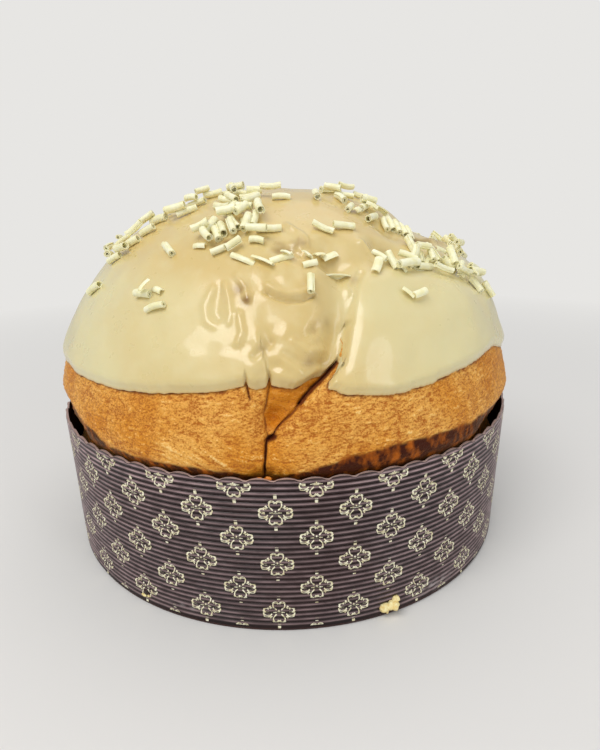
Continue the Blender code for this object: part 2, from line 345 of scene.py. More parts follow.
def spots(points, listed):
    found = np.zeros(points.shape[:-1])
    for strength, radius, place in listed:
        gap = np.linalg.norm(points - place_on(*place, ICING_LIFT), axis=-1)
        found = np.maximum(found, strength * np.exp(-((gap / (radius * MM)) ** 2)))
    return found


def line_at(line, height):
    """The azimuth of a line over the loaf at this height."""
    heights, azimuths = zip(*line)
    return np.interp(height / MM, heights, azimuths)


def dome_line(line):
    """A line of (height, azimuth about the case's axis) in the dome's own azimuths."""
    return tuple(
        (height, math.degrees(on_dome(azimuth, height)[0]) if height * MM > WIDEST_HEIGHT else azimuth)
        for height, azimuth in line
    )


CRACK_WAY = dome_line(CRACK_LINE)
LEFT_ARM_WAY = dome_line(LEFT_ARM_LINE)


def gore(azimuth, height, sharpness):
    """How deep the tongue of crust between the arms of the crack is set back, in mm."""
    degrees = np.degrees(azimuth)
    left, right = line_at(LEFT_ARM_WAY, height), line_at(CRACK_WAY, height)
    climb = smooth((height / MM - 98) / 20)
    soft_left = mix(0.5, 4.0, climb) / sharpness
    soft_right = mix(0.45, 1.6, climb) / sharpness
    inside = smooth((degrees - left) / soft_left + 0.5) * smooth((right - degrees) / soft_right + 0.5)
    across = np.clip((degrees - left) / np.maximum(right - left, 0.5), 0, 1)
    ends = smooth((height / MM - GORE_FOOT) / 5) * smooth((GORE_TOP - height / MM) / 14)
    return mix(1.1, 3.0, across) * inside * ends


def sheared(column, height):
    """The azimuth, in degrees, of a column at this height. Columns follow the crack and its left
    arm, and straighten out away from them."""
    crack, left = line_at(CRACK_WAY, height), line_at(LEFT_ARM_WAY, height)
    right_of = column + (crack - CRACK_COLUMN) * smooth(1 - (column - CRACK_COLUMN) / CRACK_REACH)
    left_of = column + (left - LEFT_COLUMN) * smooth(1 - (LEFT_COLUMN - column) / LEFT_REACH)
    between = mix(left, crack, (column - LEFT_COLUMN) / (CRACK_COLUMN - LEFT_COLUMN))
    inside = np.where(column > CRACK_COLUMN, right_of, between)
    return np.where(column < LEFT_COLUMN, left_of, inside)


def column_of(degrees, height):
    """The column that passes through a place, which undoes sheared."""
    columns = np.linspace(-180, 180, COLUMN_SAMPLES)
    return float(np.interp(degrees, sheared(columns, height), columns))


def spread_columns():
    """The columns round the loaf, in degrees, closest together at the crack."""
    columns = []
    for start, end, step in COLUMN_STRETCHES:
        count = round((end - start) / step)
        columns += [start + (end - start) * i / count for i in range(count)]
    return np.array(columns)


def edge_of(columns):
    """The height of the icing's edge at each column, in metres."""
    placed = []
    for azimuth, height in ICING_EDGE:
        placed.append((column_of(math.degrees(on_dome(azimuth, height)[0]), height * MM), height))
    known, heights = zip(*sorted(placed))
    front = np.interp(columns, known, heights)
    azimuth = np.radians(columns)
    behind = EDGE_HEIGHT - 1.0 * np.cos(4 * azimuth + 0.4) + 0.9 * np.sin(7 * azimuth)
    behind = behind - 2.2 * np.sin(5 * azimuth + 1.0)
    share = np.maximum(smooth((-52 - columns) / 14), smooth((columns - 54) / 14))
    ragged = [
        0.32 * noise.noise(Vector((arc * 0.9, 4.2, 0))) + 0.26 * noise.noise(Vector((arc * 2.6, 1.7, 0)))
        for arc in azimuth * LOAF_RADIUS / (3 * MM)
    ]
    return (mix(front, behind, share) + np.array(ragged)) * MM


def noise_field(points, scale, function, *settings):
    """A noise function read at every point, with features about 1 / scale across."""
    flat = points.reshape(-1, 3) * scale
    found = [function(Vector(point), *settings) for point in flat]
    return np.array(found).reshape(points.shape[:-1])


# ---------------------------------------------------------------------------------------------
# Meshes
# ---------------------------------------------------------------------------------------------


def add_object(name, mesh, finish):
    made = bpy.data.objects.new(name, mesh)
    bpy.context.scene.collection.objects.link(made)
    mesh.materials.clear()
    mesh.materials.append(finish)
    return made


def mesh_of(form, name):
    """The finished form as a mesh."""
    mesh = bpy.data.meshes.new(name)
    form.to_mesh(mesh)
    form.free()
    return mesh


def give_values(mesh, label, values):
    """One number for each of the mesh's points, for its finish to read."""
    layer = mesh.attributes.new(label, "FLOAT", "POINT")
    layer.data.foreach_set("value", np.array(values, np.float32))


def grid_faces(rows, columns):
    """The quads between rows of points that run round, counter-clockwise seen from outside."""
    row, column = np.meshgrid(np.arange(rows - 1), np.arange(columns), indexing="ij")
    after = (column + 1) % columns
    low, high = row * columns, (row + 1) * columns
    return np.stack((low + column, low + after, high + after, high + column), -1).reshape(-1, 4)


def shell(name, grid, low_pole, high_pole, finish, attributes):
    """A closed mesh from rows that run round the loaf, with a point at either end."""
    rows, columns = grid.shape[:2]
    points = np.concatenate((grid.reshape(-1, 3), [low_pole, high_pole]))
    faces = grid_faces(rows, columns).tolist()
    bottom, top, last = rows * columns, rows * columns + 1, (rows - 1) * columns
    for i in range(columns):
        after = (i + 1) % columns
        faces.append((after, i, bottom))
        faces.append((last + i, last + after, top))
    mesh = bpy.data.meshes.new(name)
    mesh.from_pydata(points.tolist(), [], faces)
    for label, values in attributes.items():
        give_values(mesh, label, np.append(values.reshape(-1), (0, 0)))
    mesh.shade_smooth()
    mesh.validate()
    return add_object(name, mesh, finish)


def facing_out(mesh):
    form = bmesh.new()
    form.from_mesh(mesh)
    bmesh.ops.remove_doubles(form, verts=form.verts, dist=0.002 * MM)
    bmesh.ops.recalc_face_normals(form, faces=form.faces)
    form.to_mesh(mesh)
    form.free()


# ---------------------------------------------------------------------------------------------
# Node trees
# ---------------------------------------------------------------------------------------------


def feed(tree, socket, value):
    if isinstance(value, bpy.types.NodeSocket):
        tree.links.new(value, socket)
    else:
        socket.default_value = value


def add(tree, kind, settings=None, **given):
    """A node with its settings, and its inputs by name."""
    node = tree.nodes.new(kind)
    for key, value in (settings or {}).items():
        setattr(node, key, value)
    for key, value in given.items():
        feed(tree, node.inputs[key.replace("_", " ")], value)
    return node


def maths(tree, operation, *values):
    node = tree.nodes.new("ShaderNodeMath")
    node.operation = operation
    for socket, value in zip(node.inputs, values):
        feed(tree, socket, value)
    return node.outputs[0]


def new_tree(name, inputs):
    """A Geometry Nodes tree with named inputs. Returns it and its input node's outputs."""
    tree = bpy.data.node_groups.new(name, "GeometryNodeTree")
    tree.interface.new_socket("Geometry", in_out="INPUT", socket_type="NodeSocketGeometry")
    tree.interface.new_socket("Geometry", in_out="OUTPUT", socket_type="NodeSocketGeometry")
    for label, kind in inputs:
        tree.interface.new_socket(label, in_out="INPUT", socket_type=kind)
    return tree, tree.nodes.new("NodeGroupInput").outputs


def end_tree(tree, geometry, finish):
    """Every tree ends in Realize Instances and Set Material."""
    real = add(tree, "GeometryNodeRealizeInstances", Geometry=geometry)
    painted = add(tree, "GeometryNodeSetMaterial", Geometry=real.outputs[0], Material=finish)
    end = tree.nodes.new("NodeGroupOutput")
    tree.links.new(painted.outputs[0], end.inputs[0])


def grown(made, tree, values):
    """Runs a tree on an object and turns the result into its plain mesh."""
    modifier = made.modifiers.new(tree.name, "NODES")
    modifier.node_group = tree
    for item in tree.interface.items_tree:
        if item.item_type == "SOCKET" and item.in_out == "INPUT" and item.name in values:
            modifier[item.identifier] = values[item.name]
    bpy.context.view_layer.update()
    graph = bpy.context.evaluated_depsgraph_get()
    mesh = bpy.data.meshes.new_from_object(made.evaluated_get(graph))
    made.modifiers.remove(modifier)
    made.data = mesh
    return made


WRAP_INPUTS = (
    ("Case Radius", "NodeSocketFloat"),
    ("Rib Depth", "NodeSocketFloat"),
    ("Rib Pitch", "NodeSocketFloat"),
    ("Rib Top", "NodeSocketFloat"),
    ("Rib Foot", "NodeSocketFloat"),
    ("Unevenness", "NodeSocketFloat"),
)


def wrapped(tree, geometry, given):
    """Wraps flat geometry round the ribbed case. Flat, X is an azimuth, Y is how far the point
    lies inside the outer face and Z is the height."""
    place = add(tree, "ShaderNodeSeparateXYZ", Vector=add(tree, "GeometryNodeInputPosition").outputs[0])
    azimuth, inside, height = place.outputs
    phase = maths(tree, "DIVIDE", maths(tree, "SUBTRACT", given["Rib Top"], height), given["Rib Pitch"])
    wave = maths(tree, "ABSOLUTE", maths(tree, "SINE", maths(tree, "MULTIPLY", phase, math.pi)))
    bead = maths(tree, "POWER", wave, 0.75)
    above_foot = maths(tree, "GREATER_THAN", height, given["Rib Foot"])
    bead = maths(tree, "MULTIPLY", maths(tree, "SUBTRACT", bead, 1.0), above_foot)
    outer = maths(tree, "GREATER_THAN", maths(tree, "MULTIPLY", inside, -1.0), -0.6 * MM)
    rib = maths(tree, "MULTIPLY", maths(tree, "MULTIPLY", bead, given["Rib Depth"]), outer)
    radius = maths(tree, "ADD", maths(tree, "SUBTRACT", given["Case Radius"], inside), rib)
    across, away = maths(tree, "SINE", azimuth), maths(tree, "COSINE", azimuth)
    spot = add(tree, "ShaderNodeCombineXYZ", X=across, Y=away, Z=maths(tree, "MULTIPLY", height, 9.0))
    waves = add(tree, "ShaderNodeTexNoise", Vector=spot.outputs[0], Scale=2.2, Detail=2.0)
    uneven = maths(tree, "SUBTRACT", waves.outputs[0], 0.5)
    radius = maths(tree, "MULTIPLY_ADD", uneven, given["Unevenness"], radius)
    back = maths(tree, "MULTIPLY", maths(tree, "MULTIPLY", radius, away), -1.0)
    right = maths(tree, "MULTIPLY", radius, across)
    around = add(tree, "ShaderNodeCombineXYZ", X=right, Y=back, Z=height)
    return add(tree, "GeometryNodeSetPosition", Geometry=geometry, Position=around.outputs[0]).outputs[0]


# ---------------------------------------------------------------------------------------------
# Finishes
# ---------------------------------------------------------------------------------------------

CRUST_SHEEN = linear(255, 206, 120)
SEEPED_SUGAR = linear(120, 58, 12)
# Painted shade in the crust's splits.
SPLIT_SHADE_COLOUR = linear(104, 40, 16)
CLOUDY_ICING = linear(230, 220, 176)
ICING_LIP = linear(190, 146, 82)
THIN_ICING = linear(120, 76, 14)
BARE_CRUST = linear(96, 60, 30)
PAPER_FIBRE = linear(130, 105, 105)
CUT_PAPER = linear(176, 150, 142)
INNER_PAPER = linear(40, 14, 10)
SCUFFED_PAPER = linear(170, 160, 160)
# The second, deeper colours of the small things.
DEEP_INK = linear(214, 202, 160)
DEEP_BOARD = linear(70, 40, 34)
DEEP_CHOCOLATE = linear(242, 236, 186)


def new_finish(name, roughness, **sockets):
    """A material with its own Principled shader. Returns it, its tree and the shader."""
    made = bpy.data.materials.new(name)
    made.use_nodes = True
    tree = made.node_tree
    shader = tree.nodes["Principled BSDF"]
    shader.inputs["Roughness"].default_value = roughness
    for label, value in sockets.items():
        shader.inputs[label.replace("_", " ")].default_value = value
    return made, tree, shader


def blend(tree, share, first, second):
    """A colour between two others."""
    node = tree.nodes.new("ShaderNodeMix")
    node.data_type = "RGBA"
    feed(tree, node.inputs["Factor"], share)
    for label, value in (("A", first), ("B", second)):
        socket = [item for item in node.inputs if item.name == label and item.type == "RGBA"][0]
        feed(tree, socket, value if isinstance(value, bpy.types.NodeSocket) else (*value, 1))
    return [item for item in node.outputs if item.type == "RGBA"][0]


def texture(tree, kind, scale, stretch=(1, 1, 1), turn=(0, 0, 0), **given):
    """A noise or a Voronoi pattern on Object coordinates."""
    where = add(tree, "ShaderNodeTexCoord").outputs["Object"]
    mapped = add(tree, "ShaderNodeMapping", Vector=where, Scale=stretch, Rotation=turn)
    return add(tree, kind, Vector=mapped.outputs[0], Scale=scale, **given)


def fitted(tree, value, low, high, to_low=0.0, to_high=1.0):
    node = add(tree, "ShaderNodeMapRange", Value=value)
    for label, number in zip(("From Min", "From Max", "To Min", "To Max"), (low, high, to_low, to_high)):
        node.inputs[label].default_value = number
    return node.outputs[0]


def attribute(tree, name):
    return add(tree, "ShaderNodeAttribute", {"attribute_name": name}).outputs["Fac"]


def bumped(tree, shader, height, strength, distance, below=None):
    node = add(tree, "ShaderNodeBump", Height=height, Strength=strength, Distance=distance)
    if below is not None:
        tree.links.new(below, node.inputs["Normal"])
    tree.links.new(node.outputs[0], shader.inputs["Normal"])
    return node.outputs[0]


def crust_finish(name, look):
    made, tree, shader = new_finish(name, 0.5)
    shader.inputs["Subsurface Weight"].default_value = 0.05
    shader.inputs["Subsurface Radius"].default_value = (1.0, 0.5, 0.25)
    shader.inputs["Subsurface Scale"].default_value = 1.5 * MM
    shader.inputs["Sheen Weight"].default_value = 0.16
    shader.inputs["Sheen Roughness"].default_value = 0.45
    shader.inputs["Sheen Tint"].default_value = (*CRUST_SHEEN, 1)
    broad = texture(tree, "ShaderNodeTexNoise", 45, Detail=3.0).outputs[0]
    rough = {"Detail": 4.0, "Roughness": 0.65, "Distortion": 0.6}
    middle = texture(tree, "ShaderNodeTexNoise", 620, (1, 1, 1.5), **rough).outputs[0]
    fine = texture(tree, "ShaderNodeTexNoise", 1500, (1, 1, 1.2), Detail=3.0, Roughness=0.6).outputs[0]
    tilt = (0, math.radians(24), 0)
    drawn_out = {"Detail": 3.0, "Distortion": 0.8}
    fibres = texture(tree, "ShaderNodeTexNoise", 1250, (0.4, 1, 1), tilt, **drawn_out).outputs[0]
    ridge, dark, split, set_back, seep = (
        attribute(tree, label) for label in ("ridge", "waist", "split", "gore", "seep")
    )
    base = blend(tree, fitted(tree, broad, 0.38, 0.62), look.crust_colour, look.crust_pale_colour)
    base = blend(tree, set_back, base, look.tongue_colour)
    # Pale threads lie where the noise crosses its middle, as the folds of a thin skin do.
    thread = maths(tree, "ABSOLUTE", maths(tree, "SUBTRACT", fibres, 0.5))
    thread = fitted(tree, thread, 0.0, 0.07, 1.0, 0.0)
    grain = maths(tree, "MULTIPLY_ADD", maths(tree, "SUBTRACT", ridge, 0.5), 0.62, 0.47)
    for share, pattern in ((1.0, fine), (0.75, fibres), (0.2, middle)):
        grain = maths(tree, "MULTIPLY_ADD", maths(tree, "SUBTRACT", pattern, 0.5), share, grain)
    grain = maths(tree, "MULTIPLY_ADD", thread, 0.10, grain)
    colour = blend(tree, fitted(tree, grain, 0.14, 0.5), look.crust_valley_colour, base)
    pale = maths(tree, "SUBTRACT", 1.0, maths(tree, "MULTIPLY", set_back, 0.7))
    pale = maths(tree, "MULTIPLY", fitted(tree, grain, 0.56, 0.84, 0.0, 0.9), pale)
    colour = blend(tree, pale, colour, look.crust_ridge_colour)
    blotch = texture(tree, "ShaderNodeTexNoise", 260, (1, 1, 0.6), Detail=4.0).outputs[0]
    patches = fitted(tree, blotch, 0.46, 0.68)
    # Below the waist line: real dark crust, and painted shade in the gap over the rim.
    dark_crust_and_shade = blend(tree, patches, look.waist_colour, look.waist_pale_colour)
    colour = blend(tree, dark, colour, dark_crust_and_shade)
    stained = maths(tree, "MULTIPLY", seep, fitted(tree, blotch, 0.4, 0.62, 0.1, 1.0))
    colour = blend(tree, stained, colour, SEEPED_SUGAR)
    # Painted shade inside the crust's splits.
    colour = blend(tree, split, colour, SPLIT_SHADE_COLOUR)
    tree.links.new(colour, shader.inputs["Base Color"])
    tree.links.new(fitted(tree, middle, 0.3, 0.7, 0.42, 0.6), shader.inputs["Roughness"])
    tree.links.new(fitted(tree, dark, 0.0, 1.0, 0.26, 0.1), shader.inputs["Specular IOR Level"])
    first = bumped(tree, shader, middle, 0.6, 0.6 * MM)
    bumped(tree, shader, fine, 0.5, 0.3 * MM, first)
    return made


def icing_finish(name, look):
    made, tree, shader = new_finish(name, 0.3)
    shader.inputs["Subsurface Weight"].default_value = 0.15
    shader.inputs["Subsurface Radius"].default_value = (1.0, 0.7, 0.4)
    shader.inputs["Subsurface Scale"].default_value = 2 * MM
    shader.inputs["Coat Weight"].default_value = 0.45
    shader.inputs["Coat Roughness"].default_value = 0.07
    broad = texture(tree, "ShaderNodeTexNoise", 28, Detail=2.0).outputs[0]
    cloudy = texture(tree, "ShaderNodeTexNoise", 130, Detail=4.0).outputs[0]
    # Painted shade: the icing is darker and browner across the front and over the top, with a broad
    # random tone mixed in.
    warm = maths(tree, "ADD", attribute(tree, "warm"), fitted(tree, broad, 0.36, 0.64, -0.2, 0.2))
    colour = blend(tree, warm, look.icing_colour, look.icing_shaded_colour)
    colour = blend(tree, fitted(tree, cloudy, 0.50, 0.75, 0.0, 0.25), colour, CLOUDY_ICING)
    thin, bare, lip = (attribute(tree, label) for label in ("thin", "bare", "lip"))
    colour = blend(tree, maths(tree, "MULTIPLY", lip, 0.55), colour, ICING_LIP)
    colour = blend(tree, thin, colour, THIN_ICING)
    colour = blend(tree, bare, colour, BARE_CRUST)
    tree.links.new(colour, shader.inputs["Base Color"])
    tree.links.new(fitted(tree, cloudy, 0.3, 0.7, 0.24, 0.42), shader.inputs["Roughness"])
    faint = texture(tree, "ShaderNodeTexNoise", 260, Detail=3.0).outputs[0]
    bumped(tree, shader, faint, 0.12, 0.5 * MM)
    return made


def paper_finish(name, look):
    made, tree, shader = new_finish(name, 0.42)
    broad = texture(tree, "ShaderNodeTexNoise", 30, Detail=3.0).outputs[0]
    fibre = texture(tree, "ShaderNodeTexNoise", 700, (1, 1, 3), Detail=3.0).outputs[0]
    colour = blend(tree, fitted(tree, broad, 0.35, 0.65), look.paper_colour, look.paper_warm_colour)
    colour = blend(tree, fitted(tree, fibre, 0.58, 0.85, 0.0, 0.18), colour, PAPER_FIBRE)
    # Painted highlight along the ribs' upper sides, broken up by streaks.
    highlight_variation = texture(tree, "ShaderNodeTexNoise", 160, (1, 1, 2.5), Detail=3.0).outputs[0]
    rib_highlight = maths(tree, "MULTIPLY", attribute(tree, "rib_highlight"), fitted(tree, highlight_variation, 0.35, 0.65, 0.5, 1.1))
    colour = blend(tree, rib_highlight, colour, look.paper_highlight_colour)
    colour = blend(tree, attribute(tree, "cut"), colour, CUT_PAPER)
    colour = blend(tree, attribute(tree, "inner"), colour, INNER_PAPER)
    colour = blend(tree, attribute(tree, "scuff"), colour, SCUFFED_PAPER)
    tree.links.new(colour, shader.inputs["Base Color"])
    tree.links.new(fitted(tree, fibre, 0.3, 0.7, 0.30, 0.46), shader.inputs["Roughness"])
    shader.inputs["Specular IOR Level"].default_value = 0.32
    bumped(tree, shader, fibre, 0.2, 0.1 * MM)
    return made


def plain_finish(name, colour, other, scale, roughness, depth, **sockets):
    """A finish for small things: two colours that run into each other and a light grain."""
    made, tree, shader = new_finish(name, roughness, **sockets)
    pattern = texture(tree, "ShaderNodeTexNoise", scale, Detail=3.0).outputs[0]
    mixed = blend(tree, fitted(tree, pattern, 0.35, 0.65), colour, other)
    tree.links.new(mixed, shader.inputs["Base Color"])
    spread = fitted(tree, pattern, 0.3, 0.7, roughness - 0.06, roughness + 0.08)
    tree.links.new(spread, shader.inputs["Roughness"])
    bumped(tree, shader, pattern, 0.3, depth)
    return made


# ---------------------------------------------------------------------------------------------
# The paper case
# ---------------------------------------------------------------------------------------------


def rib_pitch(look):
    return (CASE_HEIGHT - look.foot_band) / look.rib_count


def rib_settings(look):
    return {
        "Case Radius": CASE_RADIUS,
        "Rib Depth": look.rib_depth,
        "Rib Pitch": rib_pitch(look),
        "Rib Top": CASE_HEIGHT,
        "Rib Foot": look.foot_band,
        "Unevenness": look.unevenness,
    }


def rim_height(azimuth):
    """The scalloped edge of the strip."""
    wave = np.abs(np.cos(SCALLOPS / 2 * (azimuth - SCALLOP_START))) ** 0.8
    return CASE_HEIGHT + SCALLOP_RISE * (2 * wave - 1)


def flat_wall(look):
    """The strip before it is bent round: rows of (inside, height) closed into a loop."""
    pitch = rib_pitch(look)
    foot = WALL_FOOT
    turned_in = CASE_RADIUS - FLANGE_RADIUS
    bend = 0.3 * FOOT_CURVE
    profile = [(turned_in, foot), (FOOT_CURVE, foot), (bend, foot + bend)]
    profile += [(0.0, foot + FOOT_CURVE), (0.0, look.foot_band - 0.2 * MM)]
    for rib in range(look.rib_count):
        profile += [(0.0, look.foot_band + pitch * (rib + share)) for share in RIB_ROWS]
    edge, top = CASE_HEIGHT + 0.5 * MM, CASE_HEIGHT + SCALLOP_RISE
    profile += [(0.0, edge), (0.0, top)]
    outside = len(profile)
    profile += [(PAPER, top), (PAPER, edge), (PAPER, CASE_HEIGHT - 2 * MM)]
    profile += [(PAPER, CASE_HEIGHT * share) for share in (0.75, 0.5, 0.25)]
    profile += [(PAPER, foot + FOOT_CURVE + PAPER), (turned_in, foot + PAPER)]
    return profile, outside


def build_wall(look):
    columns = WALL_COLUMNS
    azimuth = np.arange(columns) * math.tau / columns
    profile, outside = flat_wall(look)
    pitch = rib_pitch(look)
    rim = rim_height(azimuth)
    points, cut, inner, rib_highlight = [], [], [], []
    # The painted highlight on the ribs is weaker in front and low on the wall.
    turned_by = np.abs((np.degrees(azimuth) + 180) % 360 - 180)
    highlight_by_azimuth = mix(FRONT_HIGHLIGHT, 1.0, smooth(turned_by / HIGHLIGHT_FULL_FROM))
    for row, (inside, height) in enumerate(profile):
        fall = max(outside - 1 - row, row - outside, 0) * 0.12 * MM
        heights = np.minimum(height, rim - fall) if height > CASE_HEIGHT - 3 * MM else height
        ribbed = look.foot_band < height < CASE_HEIGHT
        share = ((height - look.foot_band) / pitch) % 1.0 if ribbed else 0.0
        lit = float(np.interp(share, RIB_ROWS, RIB_HIGHLIGHT))
        climb = smooth((height / MM - HIGHLIGHT_GAIN_FROM) / HIGHLIGHT_GAIN_OVER)
        rib_highlight += (highlight_by_azimuth * lit * mix(LOW_HIGHLIGHT, 1.0, climb)).tolist()
        heights = np.broadcast_to(heights, azimuth.shape)
        points += np.stack(np.broadcast_arrays(azimuth, inside, heights), -1).tolist()
        cut += [1.0 if row in (outside - 1, outside) else 0.0] * columns
        inner += [1.0 if row > outside else 0.0] * columns
    rows = len(profile)
    faces = grid_faces(rows, columns).tolist()
    last = (rows - 1) * columns
    for i in range(columns):
        after = (i + 1) % columns
        faces.append((last + i, last + after, after, i))
    mesh = bpy.data.meshes.new("case_wall")
    mesh.from_pydata(points, [], faces)
    place = np.array(points)
    arc = (np.degrees(place[:, 0]) + 180) % 360 - 180
    scuffs = np.zeros(len(points))
    for strength, centre, height, wide, high in SCUFFS:
        spread = ((arc - centre) / wide) ** 2 + ((place[:, 2] / MM - height) / high) ** 2
        scuffs = np.maximum(scuffs, strength * np.exp(-spread))
    scuffs *= [max(0.0, min(1.0, 1.6 * noise.noise(Vector((a * 0.8, z * 900, 3))) + 0.35))
               for a, z in zip(arc, place[:, 2])]
    for label, values in (("cut", cut), ("inner", inner), ("rib_highlight", rib_highlight), ("scuff", scuffs)):
        give_values(mesh, label, values)
    paper = paper_finish("ribbed paper", look)
    made = add_object("case_wall", mesh, paper)
    tree, given = new_tree("Ribbed wall", WRAP_INPUTS)
    end_tree(tree, wrapped(tree, given["Geometry"], given), paper)
    grown(made, tree, rib_settings(look))
    made.data.shade_smooth()
    made.data.set_sharp_from_angle(angle=math.radians(60))
    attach(made, "root")
    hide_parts("paper_wall")


# One quarter of a motif: the width of each line and its points, in mm right of and above the
# middle. The other three quarters mirror it.
MOTIF_QUARTER = (
    (0.42, ((0.9, 1.0), (1.5, 1.5), (1.95, 2.2), (2.15, 3.0), (2.1, 3.7))),
    (0.84, ((2.1, 3.7), (1.85, 4.25), (1.3, 4.5), (0.7, 4.35), (0.25, 3.8), (0.1, 3.5))),
    (0.66, ((2.55, 1.7), (2.95, 2.2), (3.3, 2.85))),
    (0.60, ((3.0, 1.45), (3.5, 1.75), (4.1, 2.05))),
)
# Half of it: these lines are only mirrored to the left.
MOTIF_HALF = (
    (0.90, ((3.3, -1.55), (4.1, -1.75), (4.9, -1.7), (5.35, -1.35))),
    (0.5, ((5.35, -1.35), (5.65, -0.8), (5.55, -0.1))),
    (0.5, ((3.7, 1.25), (4.4, 1.55), (5.1, 1.4), (5.6, 1.0))),
    (0.74, ((5.6, 1.0), (5.3, 0.4), (4.8, 0.05))),
    (1.2, ((4.8, 0.05), (4.2, -0.08), (3.6, -0.05))),
    (0.4, ((2.6, -0.9), (3.0, -1.25), (3.3, -1.55))),
    (0.45, ((2.1, 0.0), (1.5, 0.0))),
    (0.75, ((1.5, 0.0), (0.9, 0.0))),
    (1.15, ((0.9, 0.0), (0.0, 0.0))),
    (0.45, ((0.0, 0.9), (0.0, 0.3))),
)
MOTIF_DOTS = (1.7, ((-0.55, 6.2), (0.55, 6.2)))
# No line of a motif lies further than this from its middle.
MOTIF_REACH = 9.0
LONGEST_STRETCH = 0.42
# The face and the root of a printed line, in mm inside the paper's outer face.
INK_FACE = -0.05
INK_ROOT = 0.14


def motif_strokes():
    """The lines of one motif as (width, points)."""
    strokes = []
    for width, line in MOTIF_HALF:
        strokes += [(width, [(side * x, y) for x, y in line]) for side in (-1, 1)]
    for width, line in MOTIF_QUARTER:
        strokes += [(width, [(side * x, up * y) for x, y in line]) for side in (-1, 1) for up in (-1, 1)]
    width, dot = MOTIF_DOTS
    return strokes + [(width, [(x, up * y) for x, y in dot]) for up in (-1, 1)]


def refined(points, longest):
    """The same line with no stretch longer than this."""
    line = [points[0]]
    for start, end in zip(points, points[1:]):
        pieces = max(1, math.ceil(math.dist(start, end) / longest))
        line += [tuple(mix(a, b, k / pieces) for a, b in zip(start, end)) for k in range(1, pieces + 1)]
    return line


def ribbon(form, line, width):
    """A thin closed ribbon along a flat line, in mm, laid in the wall's flat space with its face
    just proud of the paper."""
    per_mm = 1 / (CASE_RADIUS / MM)
    rings = []
    looped = math.dist(line[0], line[-1]) < 1e-6
    if looped:
        line = line[:-1]
    for i, (x, y) in enumerate(line):
        before = line[i - 1] if looped or i else line[i]
        after = line[(i + 1) % len(line)] if looped or i + 1 < len(line) else line[i]
        dx, dy = after[0] - before[0], after[1] - before[1]
        size = math.hypot(dx, dy) or 1.0
        nx, ny = -dy / size * width / 2, dx / size * width / 2
        corners = ((x + nx, y + ny, INK_FACE), (x - nx, y - ny, INK_FACE), (x, y, INK_ROOT))
        rings.append([form.verts.new((a * per_mm, inside * MM, b * MM)) for a, b, inside in corners])
    pairs = list(zip(rings, rings[1:]))
    if looped:
        pairs.append((rings[-1], rings[0]))
    else:
        form.faces.new(rings[0])
        form.faces.new(rings[-1][::-1])
    for ring, following in pairs:
        for k in range(3):
            form.faces.new((ring[k], following[k], following[(k + 1) % 3], ring[(k + 1) % 3]))


def motif(name, lowest=-MOTIF_REACH, highest=MOTIF_REACH):
    """One motif, with what lies beyond these heights cut away."""
    form = bmesh.new()
    for width, points in motif_strokes():
        run = []
        for point in refined(points, LONGEST_STRETCH) + [None]:
            if point is not None and lowest <= point[1] <= highest:
                run.append(point)
                continue
            if len(run) > 1:
                ribbon(form, run, width)
            run = []
    bmesh.ops.recalc_face_normals(form, faces=form.faces)
    return mesh_of(form, name)


def print_tree(ink):
    """Rows of motifs, each set over by half a step from the one above, wrapped round the case."""
    lattice = (
        ("Motifs Round", "NodeSocketInt"),
        ("Rows", "NodeSocketInt"),
        ("First Azimuth", "NodeSocketFloat"),
        ("Top Row", "NodeSocketFloat"),
        ("Row Drop", "NodeSocketFloat"),
    )
    tree, given = new_tree("Printed motifs", WRAP_INPUTS + lattice)
    index = add(tree, "GeometryNodeInputIndex").outputs[0]
    row = maths(tree, "FLOOR", maths(tree, "DIVIDE", index, given["Motifs Round"]))
    column = maths(tree, "FLOORED_MODULO", index, given["Motifs Round"])
    step = maths(tree, "DIVIDE", math.tau, given["Motifs Round"])
    shift = maths(tree, "MULTIPLY", maths(tree, "FLOORED_MODULO", row, 2.0), 0.5)
    place = maths(tree, "ADD", column, shift)
    azimuth = maths(tree, "MULTIPLY_ADD", place, step, given["First Azimuth"])
    height = maths(tree, "SUBTRACT", given["Top Row"], maths(tree, "MULTIPLY", row, given["Row Drop"]))
    spot = add(tree, "ShaderNodeCombineXYZ", X=azimuth, Y=0.0, Z=height)
    count = maths(tree, "MULTIPLY", given["Motifs Round"], given["Rows"])
    points = add(tree, "GeometryNodePoints", Count=count, Position=spot.outputs[0])
    copies = add(
        tree, "GeometryNodeInstanceOnPoints", Points=points.outputs[0], Instance=given["Geometry"]
    )
    real = add(tree, "GeometryNodeRealizeInstances", Geometry=copies.outputs[0])
    end_tree(tree, wrapped(tree, real.outputs[0], given), ink)
    return tree


